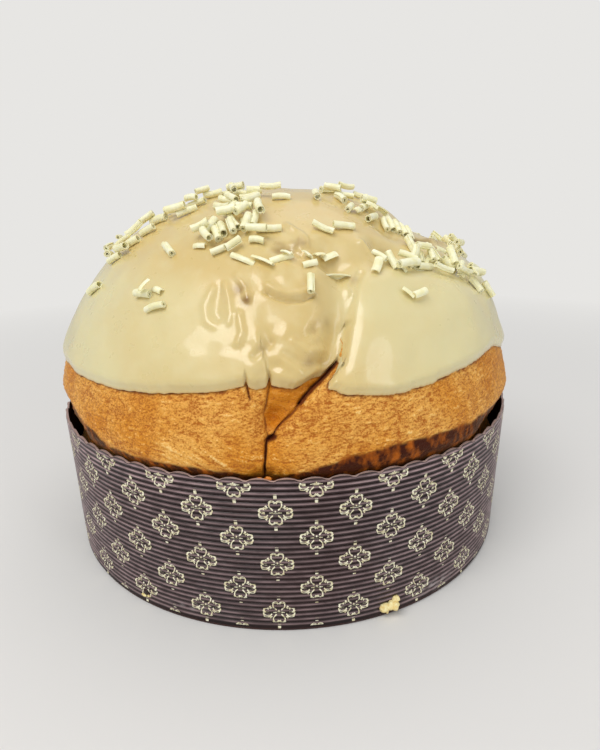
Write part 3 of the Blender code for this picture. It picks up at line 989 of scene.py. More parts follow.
def build_print(look):
    ink = plain_finish("cream ink", look.print_colour, DEEP_INK, 900, 0.45, 0.05 * MM)
    tree = print_tree(ink)
    shared = dict(rib_settings(look))
    shared["Motifs Round"] = MOTIFS_ROUND
    shared["Row Drop"] = MOTIF_DROP * MM
    first = math.radians(MOTIF_START)
    half = math.pi / MOTIFS_ROUND
    foot = (WALL_FOOT + FOOT_CURVE) / MM
    # (first row, rows, lowest, highest, whether the row is set over)
    top = (CASE_HEIGHT - SCALLOP_RISE) / MM
    bands = [(0, 1, -MOTIF_REACH, top - TOP_ROW, True)]
    bands.append((1, 4, -MOTIF_REACH, MOTIF_REACH, False))
    for row, set_over in ((5, False), (6, True)):
        bands.append((row, 1, foot - (TOP_ROW - row * MOTIF_DROP), MOTIF_REACH, set_over))
    form = bmesh.new()
    for start, rows, lowest, highest, set_over in bands:
        band = add_object("motif_band", motif("motif", lowest, highest), ink)
        values = dict(shared)
        values["Rows"] = rows
        values["First Azimuth"] = first + (half if set_over else 0.0)
        values["Top Row"] = (TOP_ROW - start * MOTIF_DROP) * MM
        grown(band, tree, values)
        form.from_mesh(band.data)
        bpy.data.objects.remove(band, do_unlink=True)
    mesh = mesh_of(form, "case_print")
    facing_out(mesh)
    made = add_object("case_print", mesh, ink)
    made.data.shade_flat()
    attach(made, "root")


def turned(name, profile, columns, finish):
    """A closed solid turned round the upright axis; the profile runs from the bottom's middle
    outwards and up to the top's middle."""
    angles = np.arange(columns) * math.tau / columns
    rings = [
        np.stack((radius * np.sin(angles), -radius * np.cos(angles), np.full(columns, height)), -1)
        for radius, height in profile[1:-1]
    ]
    made = shell(name, np.array(rings), (0, 0, profile[0][1]), (0, 0, profile[-1][1]), finish, {})
    made.data.set_sharp_from_angle(angle=math.radians(40))
    return made


def build_base(look):
    radius = BASE_BOX[1].x
    bevel = 0.25 * MM
    profile = (
        (0, 0), (radius * 0.5, 0), (radius - bevel, 0), (radius, bevel), (radius, PAPER - bevel),
        (radius - bevel, PAPER), (radius * 0.5, PAPER), (0, PAPER),
    )
    board = plain_finish("plain board", look.board_colour, DEEP_BOARD, 500, 0.6, 0.1 * MM)
    made = turned("case_base", profile, BASE_COLUMNS, board)
    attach(made, "root")
    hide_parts("paper_base")


# ---------------------------------------------------------------------------------------------
# The loaf and its icing
# ---------------------------------------------------------------------------------------------


def undercut(azimuth, height):
    """How far the bread draws in over the rim, where its skirt hangs clear of the paper."""
    degrees = np.degrees(azimuth)
    line = np.interp((degrees + 180) % 360 - 180, *zip(*WAIST_LINE)) * MM
    away = np.abs((degrees + 180) % 360 - 180)
    deep = mix(0.3, 3.4, smooth((away - 42) / 12)) * MM
    return deep * smooth((line + 2.5 * MM - height) / (8 * MM)), line


def wrinkles(points, azimuth):
    """The fine skin of the crust, from about -1 to 1: creases that run round the loaf and, left of
    the crack, fan down into it."""
    degrees = np.degrees(azimuth)
    arc = azimuth * LOAF_RADIUS
    height = points[..., 2]
    near = np.exp(-(((degrees + 13) / 9) ** 2)) * np.exp(-(((height / MM - 70) / 9) ** 2))
    skew = height + 0.55 * np.maximum(arc + 40 * MM, 0) * np.exp(-(((degrees + 10) / 16) ** 2))
    folded = noise_field(np.stack((arc * 0.10, skew * 0.62, height * 0), -1), 900, noise.noise)
    fan = np.abs(folded) * 3.2 - 0.75
    flat = np.stack((arc * 0.45, height, height * 0), -1)
    creased = 1.7 * noise_field(flat, 760, noise.turbulence, 3, True) - 1.05
    rounded = noise_field(points, 170, noise.noise)
    return mix(creased, 1.3 * fan, 0.85 * near) + 0.35 * rounded


def loaf_rows(columns, edge):
    """(azimuth, rise, height) of each fine row that shows, from inside the case to under the
    icing."""
    rows = []
    for height in SKIRT_HEIGHTS:
        rows.append((np.radians(sheared(columns, height)), None, np.full(columns.shape, height)))
    for i in range(CRUST_ROWS):
        height = mix(WIDEST_HEIGHT, edge + UNDER_ICING, i / (CRUST_ROWS - 1))
        azimuth = np.radians(sheared(columns, height))
        rows.append((azimuth, rise_at(azimuth, height), height))
    return rows


def bread_point(azimuth, rise, height, lift):
    if rise is None:
        plain = side_points(azimuth, height)
        away = np.stack((np.sin(azimuth), -np.cos(azimuth), np.zeros(azimuth.shape)), -1)
    else:
        plain, away = crust(azimuth, rise), outward(azimuth, rise)
    return plain, plain + away * lift[..., None]


def build_loaf(look):
    columns = spread_columns()
    edge = edge_of(columns)
    around = np.radians(columns)
    floor = 2 * PAPER + GAP_UNDER
    inside = CASE_RADIUS - PAPER - GAP_AROUND
    plain_values = np.zeros(columns.shape)
    grid = []
    layers = {"ridge": [], "waist": [], "split": [], "gore": [], "seep": []}

    def add_row(points, **values):
        grid.append(points)
        for label, kept in layers.items():
            kept.append(values.get(label, plain_values))

    bend = BOTTOM_CURVE * 0.3
    hidden = ((inside - BOTTOM_CURVE, floor), (inside - bend, floor + bend))
    hidden += ((inside, floor + BOTTOM_CURVE), (inside, PLAIN_HEIGHT))
    for radius, height in hidden:
        ring = (radius * np.sin(around), -radius * np.cos(around), np.full(columns.shape, height))
        add_row(np.stack(ring, -1))
    for azimuth, rise, height in loaf_rows(columns, edge):
        plain = bread_point(azimuth, rise, height, plain_values)[0]
        folded = marks(plain, FOLDS)
        shifts = (0.0, 0.3, 0.6)
        wobble = np.stack([noise_field(plain + shift, 330, noise.noise) for shift in shifts], -1)
        cut = marks(plain + 0.35 * MM * wobble, SPLITS)
        tongue = gore(azimuth, height, 1.0)
        drawn, line = undercut(azimuth, height)
        skin = wrinkles(plain, azimuth)
        calm = 1 - 0.75 * smooth(tongue / 1.0)
        striped = np.sin(height / (0.55 * MM) + 2.0 * np.sin(np.degrees(azimuth) * 0.5)) * smooth(tongue)
        lift = look.crust_relief * skin * calm + 0.10 * MM * striped
        lift = lift * (1 - 0.6 * smooth(cut / (1.5 * MM)))
        lift = lift - folded - cut - tongue * MM - drawn
        ragged = 1.2 * MM * noise_field(plain, 160, noise.noise)
        under = (edge - height) / MM + 0.5 * noise_field(plain, 420, noise.noise)
        add_row(
            bread_point(azimuth, rise, height, lift)[1],
            ridge=np.clip(0.5 + 0.5 * skin, 0, 1) * calm + 0.5 * (1 - calm) + 0.12 * striped,
            # dark crust below the waist line, partly painted shade in the gap over the rim
            waist=smooth((line + ragged - height) / (1.6 * MM) + 0.3),
            # painted shade inside the splits
            split=smooth(cut / (1.1 * MM) - 0.35),
            gore=smooth(tongue),
            seep=smooth(1.2 - np.abs(under) / 0.9),
        )
    top_height = edge + UNDER_ICING
    for i in range(1, HIDDEN_ROWS):
        azimuth = np.radians(sheared(columns, top_height))
        rise = mix(rise_at(azimuth, top_height), 1.0, i / HIDDEN_ROWS)
        plain = crust(azimuth, rise)
        lift = -marks(plain, FOLDS) - marks(plain, ICING_MARKS, ICING_LIFT).clip(0)
        lift = lift - gore(azimuth, plain[..., 2], 1.0) * MM - 1.2 * MM
        add_row(plain + outward(azimuth, rise) * lift[..., None])
    crown = crust(np.float64(0), np.float64(1)) - np.array((0, 0, LOAF_CROWN))
    layers = {label: np.array(values) for label, values in layers.items()}
    baked = crust_finish("browned crust", look)
    made = shell("loaf", np.array(grid), (0, 0, floor), crown, baked, layers)
    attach(made, "root")
    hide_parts("bread")


def icing_surface(azimuth, rise, lift):
    """Points of the icing's outer face, lifted off it by this much, with its soft lumps and its
    hollows."""
    plain = crust(azimuth, rise)
    depth = marks(plain, FOLDS) + gore(azimuth, plain[..., 2], 0.7) * MM
    depth = depth + marks(plain, ICING_MARKS, ICING_LIFT)
    degrees, height = np.degrees(azimuth), plain[..., 2] / MM
    middle = np.exp(-(((degrees - 3) / 9) ** 2))
    low = smooth((height - 94) / 3) * smooth((113 - height) / 8)
    high = smooth((height - 114) / 8) * smooth((136 - height) / 8)
    left_of = line_at(CRACK_WAY, plain[..., 2]) + 1 - degrees
    rough = middle * (low * smooth(left_of / 2) + high * smooth(left_of / 9 + 0.5))
    lumps = 0.50 * noise_field(plain, 55, noise.noise)
    lumps = lumps + 0.35 * noise_field(plain, 110, noise.noise) * (1 + 0.6 * rough)
    crumpled = 0.75 * rough * noise_field(plain, 230, noise.noise)
    return plain + outward(azimuth, rise) * (lift - depth + (lumps + crumpled) * MM)[..., None]


def build_icing(look):
    columns = spread_columns()
    edge = edge_of(columns)
    outer, places, lip = [], [], []
    azimuth = np.radians(sheared(columns, edge))
    rise = rise_at(azimuth, edge)
    first = crust(azimuth, rise)
    for i in range(ICING_ROWS):
        share = (i / ICING_ROWS) ** 1.25
        around = np.radians(sheared(columns, edge)) if i == 0 else azimuth
        level = mix(rise, 1.0, share)
        height = crust(around, level)[..., 2]
        around = np.radians(sheared(columns, height))
        plain = crust(around, level)
        reach = np.linalg.norm(plain - first, axis=-1)
        thick = look.icing_thickness * mix(0.22, 1.0, 1 - np.exp(-((reach / (2.2 * MM)) ** 2)))
        bead = 0.12 * MM * np.exp(-(((reach - 2.6 * MM) / (1.5 * MM)) ** 2))
        lip.append(np.exp(-((reach / (0.6 * MM)) ** 2)))
        settle = smooth(reach / (2.5 * MM))
        base = icing_surface(around, level, 0.0)
        away = outward(around, level)
        sunk = -marks(plain, FOLDS) - gore(around, height, 0.8) * MM - marks(plain, SPLITS) * 0.7
        calm = plain + away * sunk[..., None]
        point = mix(calm, base, settle[..., None]) + away * (thick + bead)[..., None]
        outer.append(point)
        places.append(plain)
    lower = []
    for i in range(INNER_ROWS):
        share = i / INNER_ROWS
        level = mix(rise, 1.0, share)
        height = crust(azimuth, level)[..., 2]
        around = np.radians(sheared(columns, height))
        plain = crust(around, level)
        sunk = marks(plain, FOLDS) + gore(around, height, 1.0) * MM
        sunk = sunk + marks(plain, ICING_MARKS, ICING_LIFT).clip(0)
        sunk = sunk + (0.5 * MM if i == 0 else 0.9 * MM) + marks(plain, SPLITS) * (0.7 if i == 0 else 0)
        lower.append(plain - outward(around, level) * sunk[..., None])
    grid = np.array(lower[::-1] + outer)
    spread = np.array(places)
    mottled = 0.65 + 0.7 * noise_field(spread, 420, noise.noise)
    thin = np.clip(spots(spread, THIN_SPOTS) * mottled, 0, 1)
    bare = np.clip(spots(spread, BARE_SPOTS) * (0.8 + 0.5 * mottled), 0, 1)
    nothing = np.zeros((INNER_ROWS, len(columns)))
    turned_by, level = np.degrees(np.arctan2(spread[..., 0], -spread[..., 1])), spread[..., 2] / MM
    # Painted shade across the front and over the top of the icing.
    warm = 0.95 * np.exp(-(((turned_by + 3) / 26) ** 2)) + 0.9 * smooth((level - 114) / 22)
    found = {"thin": thin, "bare": bare, "lip": np.array(lip), "warm": np.clip(warm, 0, 1)}
    layers = {label: np.concatenate((nothing, values)) for label, values in found.items()}
    crown = crust(np.float64(0), np.float64(1))
    poles = (crown - np.array((0, 0, ICING_CROWN)), outer[-1].mean(axis=0))
    made = shell("icing_coat", grid, *poles, icing_finish("coffee icing", look), layers)
    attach(made, "root")
    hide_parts("icing")


# ---------------------------------------------------------------------------------------------
# The white chocolate
# ---------------------------------------------------------------------------------------------

# Where single curls and flakes lie: azimuth, height, heading up from level, length in mm.
SINGLE_CURLS = (
    # on the left shoulder and the left side
    (-53, 150.5, 60, 8), (-54, 149.5, 80, 6), (-58, 116.5, 35, 8), (-59, 127, 40, 7),
    (-56, 133, 35, 7), (-53, 137, 35, 7), (-56, 141, 30, 8), (-50, 143.5, 30, 8),
    (-46, 147, 25, 8), (-33, 131.5, -35, 7), (-33, 117.5, 0, 7), (-28, 114.2, 14, 8),
    # the heap left of the middle, from its back to its front
    (-37, 150.5, 84, 6), (-30, 150.6, 10, 7), (-23, 149.8, -3, 7), (-14, 149.4, 14, 6),
    (-5, 149.6, 0, 8), (1, 148.8, 0, 7), (-27, 147.6, -10, 7), (-25, 145.4, -21, 9),
    (-19, 143.6, 61, 7), (-13, 143.8, -6, 6), (-7, 142.5, -75, 8), (-13, 142, 61, 6),
    (-8, 141.0, 88, 8), (-15, 139.8, -56, 9), (-23, 138.5, 79, 8), (-21, 134.6, -45, 6),
    (-19, 136.4, -59, 7), (-18, 138, -62, 8), (-14, 137.2, -65, 8), (-10, 138.8, 84, 8),
    (-3, 138, 8, 9), (-6, 136, -8, 7), (-6, 134.6, -7, 5), (-16, 131.6, 27, 6),
    (-12, 132.4, 44, 6), (-18, 141.4, 20, 7), (-11, 145.2, 40, 7), (-20, 145.8, -40, 7),
    # the right shoulder
    (42, 151.2, -11, 10), (35, 148.4, 75, 7), (52, 150.4, -30, 7), (61, 149.2, -60, 6),
    (43, 145.7, 20, 8), (39, 142.6, 22, 9), (46, 141.4, 53, 8), (20, 148.8, 74, 5),
    (51, 141.6, 58, 9), (53.5, 140.4, 50, 8), (56, 139.4, 48, 9), (58, 138.2, 44, 8),
    (14, 138, -36, 8), (21, 138.2, -9, 8), (44, 132.4, 63, 9), (31, 127.8, -88, 7),
    (28, 129.3, -74, 6), (34, 124.9, -3, 9), (42, 124.8, -3, 10), (47, 128.4, 64, 8),
    (50, 127.8, 67, 7), (56, 123.8, -54, 7), (52, 124, -58, 6), (46, 122, -37, 8),
    (52, 119, -22, 9), (57, 120.2, -26, 8), (59, 114.6, 68, 7), (64, 111.4, -76, 7),
    (36, 127.4, -52, 7), (45, 130.1, -26, 6), (40, 128.8, 40, 7), (62, 118, -30, 8),
    (54, 121.4, 20, 7),
    # on its own in the middle
    (7.2, 121.4, 80, 7),
)
# Drifts of curls: azimuth and height of the middle, spread each way, heading, its spread, count.
CURL_DRIFTS = (
    (-17, 141, 7, 4, 20, 80, 12),
    (-19, 149, 8, 1.2, 0, 60, 6),
    (40, 148.5, 8, 2.5, 0, 60, 8),
    (46, 127, 9, 3, 0, 80, 12),
    (58, 119, 5, 3, -30, 50, 6),
    (-48, 144.5, 8, 3, 30, 30, 7),
    (-57, 134, 3, 6, 35, 30, 5),
    (88, 122, 12, 8, -20, 60, 9),
    (120, 132, 22, 8, 0, 90, 10),
    (175, 138, 24, 8, 0, 90, 14),
    (-120, 134, 22, 9, 0, 90, 12),
    (-85, 128, 10, 8, 30, 60, 7),
    (150, 115, 25, 8, 0, 90, 5),
)
# Flakes placed one by one, as the curls are.
SINGLE_FLAKES = (
    (-9, 129.2, -24, 9), (-4, 128, -30, 8), (1, 129.4, 10, 8), (8, 127.6, 8, 5), (15, 124.8, -5, 9),
    (26, 126.4, 50, 7), (30, 117, -58, 5), (33, 116.2, 8, 6), (-23, 133, -4, 5), (11, 130.6, 20, 4),
    (-31, 118.6, 70, 5), (-29, 119, -20, 4),
)
FLAKE_DRIFTS = (
    (10, 129, 6, 2, 0, 60, 3),
    (44, 128, 10, 3, 0, 90, 8),
    (-14, 139, 6, 4, 0, 90, 8),
    (40, 145, 10, 3, 0, 90, 5),
    (58, 119, 5, 3, -30, 60, 5),
    (-57, 138, 6, 6, 0, 90, 4),
    (150, 132, 60, 10, 0, 90, 16),
    (-115, 130, 25, 10, 0, 90, 8),
)
# How far a curl may be lifted onto others, and how close two may come, as a share of their radii.
PILE_LIFTS = (0.0, 0.7 * MM, 1.4 * MM, 2.1 * MM, 2.8 * MM)
CLOSEST = 0.74
# How high a curl's middle lies over the icing, as a share of its radius.
SEAT = 0.82
# How far a curl may tip, and a flake turn, from lying flat, and how much their widths differ.
TILT = 7
FLAKE_TURN = 40
WIDTHS = (0.88, 1.08)
# The share of a drift's spread within which most of its curls lie.
DRIFT_CORE = 0.6
# The kinds of curl, each with its turns, its width and its sag in mm, and their length.
CURL_SHAPES = (
    (1.9, 1.0, 0.0), (2.1, 1.08, 0.3), (1.3, 1.12, -0.3), (1.8, 0.9, 0.5), (1.6, 0.96, 0.0),
    (1.0, 1.0, 0.4),
)
CURL_LENGTH = 10
CURL_THICKNESS = 0.36 * MM
CURL_SECTIONS = 4
# How much a curl's roll tightens in each turn, as a share of its radius.
TIGHTENING = 0.30
# The kinds of flake, each with its turns, its width and its length in mm.
FLAKE_SHAPES = ((0.34, 1.1, 7), (0.45, 0.8, 5), (0.28, 1.5, 6))
# The lengths of flakes in a drift, and how high one lies as a share of a curl's radius.
FLAKE_LENGTHS = (3.0, 6.5)
FLAKE_HEIGHT = 0.45
FLAKE_THICKNESS = 0.4 * MM
FLAKE_SAG = 0.3 * MM


def rolled(turns, radius, thickness, length, bend, steps):
    """A sheet of chocolate rolled into a tube round the X axis: a spiral with a real thickness,
    closed all round."""
    form = bmesh.new()
    rings = []
    for k in range(CURL_SECTIONS):
        along = k / (CURL_SECTIONS - 1) - 0.5
        outer, inner = [], []
        for i in range(steps + 1):
            angle = turns * math.tau * i / steps
            out = radius * (1 - TIGHTENING * i / steps * turns)
            sag = bend * along * along * 4
            for loop, reach in ((outer, out), (inner, out - thickness)):
                loop.append((length * along, reach * math.cos(angle), reach * math.sin(angle) - sag))
        rings.append([form.verts.new(point) for point in outer + inner[::-1]])
    size = len(rings[0])
    for ring, following in zip(rings, rings[1:]):
        for i in range(size):
            after = (i + 1) % size
            form.faces.new((ring[i], ring[after], following[after], following[i]))
    for ring in (rings[0], rings[-1]):
        for i in range(steps):
            form.faces.new((ring[i], ring[i + 1], ring[size - 2 - i], ring[size - 1 - i]))
    bmesh.ops.recalc_face_normals(form, faces=form.faces)
    return mesh_of(form, "curl")


def kinds_collection(name, count, make):
    """A hidden collection of the shapes that a tree picks from."""
    kept = bpy.data.collections.new(name)
    for i in range(count):
        kept.objects.link(bpy.data.objects.new(f"{name}_{i}", make(i)))
    return kept


def curl_kind(look):
    def make(i):
        turns, wide, bend = CURL_SHAPES[i]
        return rolled(turns, look.curl_radius * wide, CURL_THICKNESS, CURL_LENGTH * MM, bend * MM, 20)
    return make


def flake_kind(look):
    def make(i):
        turns, wide, long = FLAKE_SHAPES[i]
        return rolled(turns, look.curl_radius * wide, FLAKE_THICKNESS, long * MM, FLAKE_SAG, 6)
    return make


def scatter_tree(name, finish):
    """Puts one of the kinds on every point, turned and sized by the point's attributes."""
    tree, given = new_tree(name, (("Kinds", "NodeSocketCollection"), ("Size", "NodeSocketFloat")))
    kinds = add(
        tree, "GeometryNodeCollectionInfo", Collection=given["Kinds"], Separate_Children=True,
        Reset_Children=True,
    )
    turn = add(tree, "GeometryNodeInputNamedAttribute", {"data_type": "FLOAT_VECTOR"}, Name="turn")
    turned_by = add(tree, "FunctionNodeEulerToRotation", Euler=turn.outputs[0])
    which = add(tree, "GeometryNodeInputNamedAttribute", {"data_type": "INT"}, Name="kind")
    size = add(tree, "GeometryNodeInputNamedAttribute", {"data_type": "FLOAT_VECTOR"}, Name="size")
    scaling = {"operation": "SCALE"}
    sized = add(tree, "ShaderNodeVectorMath", scaling, Vector=size.outputs[0], Scale=given["Size"])
    copies = add(
        tree, "GeometryNodeInstanceOnPoints", Points=given["Geometry"], Instance=kinds.outputs[0],
        Pick_Instance=True, Instance_Index=which.outputs[0], Rotation=turned_by.outputs[0],
        Scale=sized.outputs[0],
    )
    end_tree(tree, copies.outputs[0], finish)
    return tree


def dome_spot(degrees, height_mm, heading):
    """The icing's face at a place: a point, the outward direction and the level heading turned
    up the slope."""
    thick = bpy.context.scene.panettone.icing_thickness
    azimuth, level = on_dome(degrees, height_mm, thick)
    rise = float(rise_at(np.float64(azimuth), level))
    higher = min(rise + 2 * SHORT_STEP, 1.0)
    tries = ((azimuth, rise), (azimuth + 3 * SHORT_STEP, rise), (azimuth, higher))
    place, right, up = (Vector(icing_surface(np.array([a]), np.array([r]), thick)[0]) for a, r in tries)
    away = (right - place).cross(up - place).normalized()
    plain_away = Vector(outward(np.array([azimuth]), np.array([rise]))[0])
    away = (away + plain_away).normalized()
    level = (right - place).normalized()
    level = (level - away * level.dot(away)).normalized()
    climb = away.cross(level)
    turn = math.radians(heading)
    return place, away, (level * math.cos(turn) + climb * math.sin(turn)).normalized()


def gap_between(first, second):
    """The distance between two straight stretches, from a few points along each."""
    shares = (0.0, 0.25, 0.5, 0.75, 1.0)
    ends = [[stretch[0].lerp(stretch[1], s) for s in shares] for stretch in (first, second)]
    return min((a - b).length for a in ends[0] for b in ends[1])


def settle(laid, place, away, along, length, radius, wanted):
    """Lifts a curl until it lies on those already there. Gives its middle, or nothing if the pile
    would be too high and the curl isn't wanted at that very place."""
    for lift in PILE_LIFTS:
        middle = place + away * (radius * SEAT + lift)
        stretch = (middle - along * length / 2, middle + along * length / 2)
        clear = all(gap_between(stretch, other) > (radius + wide) * CLOSEST for other, wide in laid)
        if clear or wanted and lift == PILE_LIFTS[-1]:
            laid.append((stretch, radius))
            return middle
    return None


def scattered(name, laid, singles, strewn, kind_lengths, chooser, radius, flat):
    """A mesh of points with the attributes that scatter_tree reads."""
    points, turns, which, sizes = [], [], [], []
    for i, (degrees, height, heading, length) in enumerate(singles + strewn):
        place, away, along = dome_spot(degrees, height, heading)
        kind = chooser.randrange(len(kind_lengths))
        middle = settle(laid, place, away, along, length * MM, radius, i < len(singles))
        if middle is None:
            continue
        tilt = Matrix.Rotation(math.radians(chooser.uniform(-TILT, TILT)), 3, away.cross(along))
        rolled_by = chooser.uniform(-FLAKE_TURN, FLAKE_TURN) if flat else chooser.uniform(0, 360)
        spin = Matrix.Rotation(math.radians(rolled_by), 3, "X")
        side = away.cross(along)
        basis = tilt @ Matrix((along, side, away)).transposed() @ spin
        points.append(middle)
        turns.append(basis.to_euler())
        which.append(kind)
        wide = chooser.uniform(*WIDTHS)
        sizes.append((length / kind_lengths[kind], wide, wide))
    mesh = bpy.data.meshes.new(name)
    mesh.from_pydata(points, [], [])
    for label, values in (("turn", turns), ("size", sizes)):
        layer = mesh.attributes.new(label, "FLOAT_VECTOR", "POINT")
        layer.data.foreach_set("vector", np.array([tuple(v) for v in values]).reshape(-1))
    mesh.attributes.new("kind", "INT", "POINT").data.foreach_set("value", which)
    return mesh


def drifted(drifts, chooser, short, long):
    """The spots of every drift."""
    listed = []
    for azimuth, height, wide, high, heading, spread, count in drifts:
        for _ in range(count):
            listed.append((
                azimuth + chooser.gauss(0, wide * DRIFT_CORE),
                height + chooser.gauss(0, high * DRIFT_CORE),
                heading + chooser.uniform(-spread, spread), chooser.uniform(short, long),
            ))
    return listed


def build_curls(look):
    chooser = random.Random(look.seed)
    chocolate = plain_finish(
        "white chocolate", look.chocolate_colour, DEEP_CHOCOLATE, 380, 0.38, 0.12 * MM,
        Subsurface_Weight=0.12, Subsurface_Scale=1.5 * MM,
    )
    shader = chocolate.node_tree.nodes["Principled BSDF"]
    shader.inputs["Subsurface Radius"].default_value = (1.0, 0.8, 0.5)
    laid = []
    curls = kinds_collection("curl_kinds", len(CURL_SHAPES), curl_kind(look))
    flakes = kinds_collection("flake_kinds", len(FLAKE_SHAPES), flake_kind(look))
    short, long = look.shortest_curl / MM, look.longest_curl / MM
    for name, singles, drifts, lengths, kept, radius, kind_lengths in (
        ("chocolate_curls", SINGLE_CURLS, CURL_DRIFTS, (short, long), curls,
         look.curl_radius, [CURL_LENGTH] * len(CURL_SHAPES)),
        ("chocolate_flakes", SINGLE_FLAKES, FLAKE_DRIFTS, FLAKE_LENGTHS, flakes,
         look.curl_radius * FLAKE_HEIGHT, [shape[2] for shape in FLAKE_SHAPES]),
    ):
        strewn = tuple(drifted(drifts, chooser, *lengths))
        flat = singles is SINGLE_FLAKES
        mesh = scattered(name, laid, singles, strewn, kind_lengths, chooser, radius, flat)
        made = add_object(name, mesh, chocolate)
        grown(made, scatter_tree(name, chocolate), {"Kinds": kept, "Size": 1.0})
        made.data.shade_smooth()
        made.data.set_sharp_from_angle(angle=math.radians(45))
        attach(made, "root")


# ---------------------------------------------------------------------------------------------
# Crumbs
# ---------------------------------------------------------------------------------------------

# Lumps on the case's wall: azimuth, then height, how far it stands out and size, in mm, and
# its stretch round, up and outwards.
TONGUE_LUMPS = (
    (-3.9, 62.0, -1.4, 0.8, (1.5, 0.8, 0.6)), (-3.1, 61.6, -1.1, 0.9, (1.5, 0.9, 0.5)),
    (-2.3, 62.2, -1.5, 0.9, (1.3, 0.8, 0.6)),
)
# Dark discs at the skewer holes: their dark colour is painted shade inside the holes.
HOLE_LUMPS = (
    (-31.0, 6.2, 0.3, 1.2, (1.0, 1.0, 0.4)), (21.6, 4.4, -0.2, 1.4, (1.2, 0.9, 0.4)),
)
PALE_LUMPS = (
    (-31.6, 4.6, 0.5, 0.8, (1.7, 0.7, 0.6)), (-30.3, 5.0, 0.5, 0.6, (1.0, 0.8, 0.6)),
    (20.8, 4.4, 0.4, 1.9, (1.2, 0.9, 0.9)), (22.4, 5.0, 0.5, 2.3, (1.0, 0.9, 1.1)),
    (23.2, 6.6, 0.3, 1.5, (1.1, 0.9, 0.8)), (21.2, 2.4, 0.5, 0.7, (0.8, 1.4, 0.8)),
)


def lump(form, centre, size, away, stretch, seed):
    """A rough crumb, flattened along the outward direction."""
    made = bmesh.ops.create_icosphere(form, subdivisions=3, radius=1.0)
    turn = away.to_track_quat("Z", "Y").to_matrix()
    for vert in made["verts"]:
        ragged = 1 + 0.32 * noise.noise(vert.co * 1.6 + Vector((seed, 0, 0)))
        ragged += 0.16 * noise.noise(vert.co * 4.2 + Vector((0, seed, 0)))
        shaped = Vector([part * wide for part, wide in zip(vert.co, stretch)]) * ragged
        vert.co = centre + turn @ (shaped * size)


def wall_spot(degrees, height_mm, lift=0.0):
    azimuth = math.radians(degrees)
    away = Vector((math.sin(azimuth), -math.cos(azimuth), 0))
    return away * (CASE_RADIUS + lift * MM) + Vector((0, 0, height_mm * MM)), away


def lumps_piece(name, listed, finish):
    form = bmesh.new()
    for i, (degrees, height, lift, size, stretch) in enumerate(listed):
        centre, away = wall_spot(degrees, height, lift)
        lump(form, centre, size * MM, away, stretch, 3.7 * i + len(name))
    bmesh.ops.recalc_face_normals(form, faces=form.faces)
    mesh = mesh_of(form, name)
    mesh.shade_smooth()
    made = add_object(name, mesh, finish)
    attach(made, "root")


def build_crumbs():
    golden = plain_finish("baked crumb", linear(222, 140, 40), linear(176, 92, 14), 700, 0.55, 0.4 * MM)
    pale = plain_finish("pale crumb", linear(250, 238, 180), linear(236, 206, 130), 900, 0.6, 0.4 * MM)
    # Painted shade for the inside of the skewer holes.
    hole_shade = plain_finish("hole shade", linear(30, 12, 8), linear(60, 26, 16), 900, 0.5, 0.3 * MM)
    lumps_piece("crumb_tongue", TONGUE_LUMPS, golden)
    lumps_piece("skewer_holes", HOLE_LUMPS, hole_shade)
    lumps_piece("pale_crumbs", PALE_LUMPS, pale)


# ---------------------------------------------------------------------------------------------
# The stage
# ---------------------------------------------------------------------------------------------

CAMERA_PLACE = (6.7 * MM, -253.6 * MM, 144.6 * MM)
CAMERA_PITCH = 19.82
CAMERA_ROLL = 0.92
CAMERA_LENS = 24.8
CAMERA_SHIFT = 0.0293
FLOOR_RADIUS = 6.0
# Between these distances from the middle the floor fades into the backdrop.
FLOOR_FADE = (0.22, 0.75)
# Each lamp's place, width, height, share of the main light's power, and colour.
LAMPS = {
    "key": ((-0.35, -0.55, 0.95), 0.7, 0.5, 1.0, (1.0, 0.99, 0.97)),
    "top": ((0.25, 0.35, 1.1), 0.9, 0.7, 0.22, (1.0, 1.0, 1.0)),
    "front": ((0.75, -0.75, 0.45), 0.25, 0.7, 0.26, (0.95, 0.98, 1.0)),
}
LIT_PLACE = (0, 0, 90 * MM)


def build_floor(look):
    form = bmesh.new()
    bmesh.ops.create_circle(form, cap_ends=True, segments=96, radius=FLOOR_RADIUS)
    mesh = mesh_of(form, "floor")
    made, tree, shader = new_finish("pale floor", 0.7)
    shader.inputs["Base Color"].default_value = (*look.floor_colour, 1)
    shader.inputs["Specular IOR Level"].default_value = 0.2
    glow = add(tree, "ShaderNodeEmission", Color=(*look.backdrop_colour, 1), Strength=1.0)
    place = add(tree, "ShaderNodeTexCoord").outputs["Object"]
    away = add(tree, "ShaderNodeVectorMath", {"operation": "LENGTH"}, Vector=place).outputs["Value"]
    far = fitted(tree, away, *FLOOR_FADE)
    seen = add(tree, "ShaderNodeLightPath").outputs["Is Camera Ray"]
    both = add(tree, "ShaderNodeMixShader", Fac=maths(tree, "MULTIPLY", far, seen))
    tree.links.new(shader.outputs[0], both.inputs[1])
    tree.links.new(glow.outputs[0], both.inputs[2])
    tree.links.new(both.outputs[0], tree.nodes["Material Output"].inputs["Surface"])
    floor = add_object("floor", mesh, made)


def build_world(look):
    world = bpy.data.worlds.new("studio")
    world.use_nodes = True
    bpy.context.scene.world = world
    tree = world.node_tree
    light = tree.nodes["Background"]
    light.inputs["Color"].default_value = (1.0, 1.0, 0.99, 1)
    light.inputs["Strength"].default_value = look.world_strength
    seen = add(tree, "ShaderNodeBackground")
    seen.inputs["Color"].default_value = (*look.backdrop_colour, 1)
    seen.inputs["Strength"].default_value = 1.0
    path = tree.nodes.new("ShaderNodeLightPath")
    both = tree.nodes.new("ShaderNodeMixShader")
    tree.links.new(path.outputs["Is Camera Ray"], both.inputs[0])
    tree.links.new(light.outputs[0], both.inputs[1])
    tree.links.new(seen.outputs[0], both.inputs[2])
    tree.links.new(both.outputs[0], tree.nodes["World Output"].inputs["Surface"])


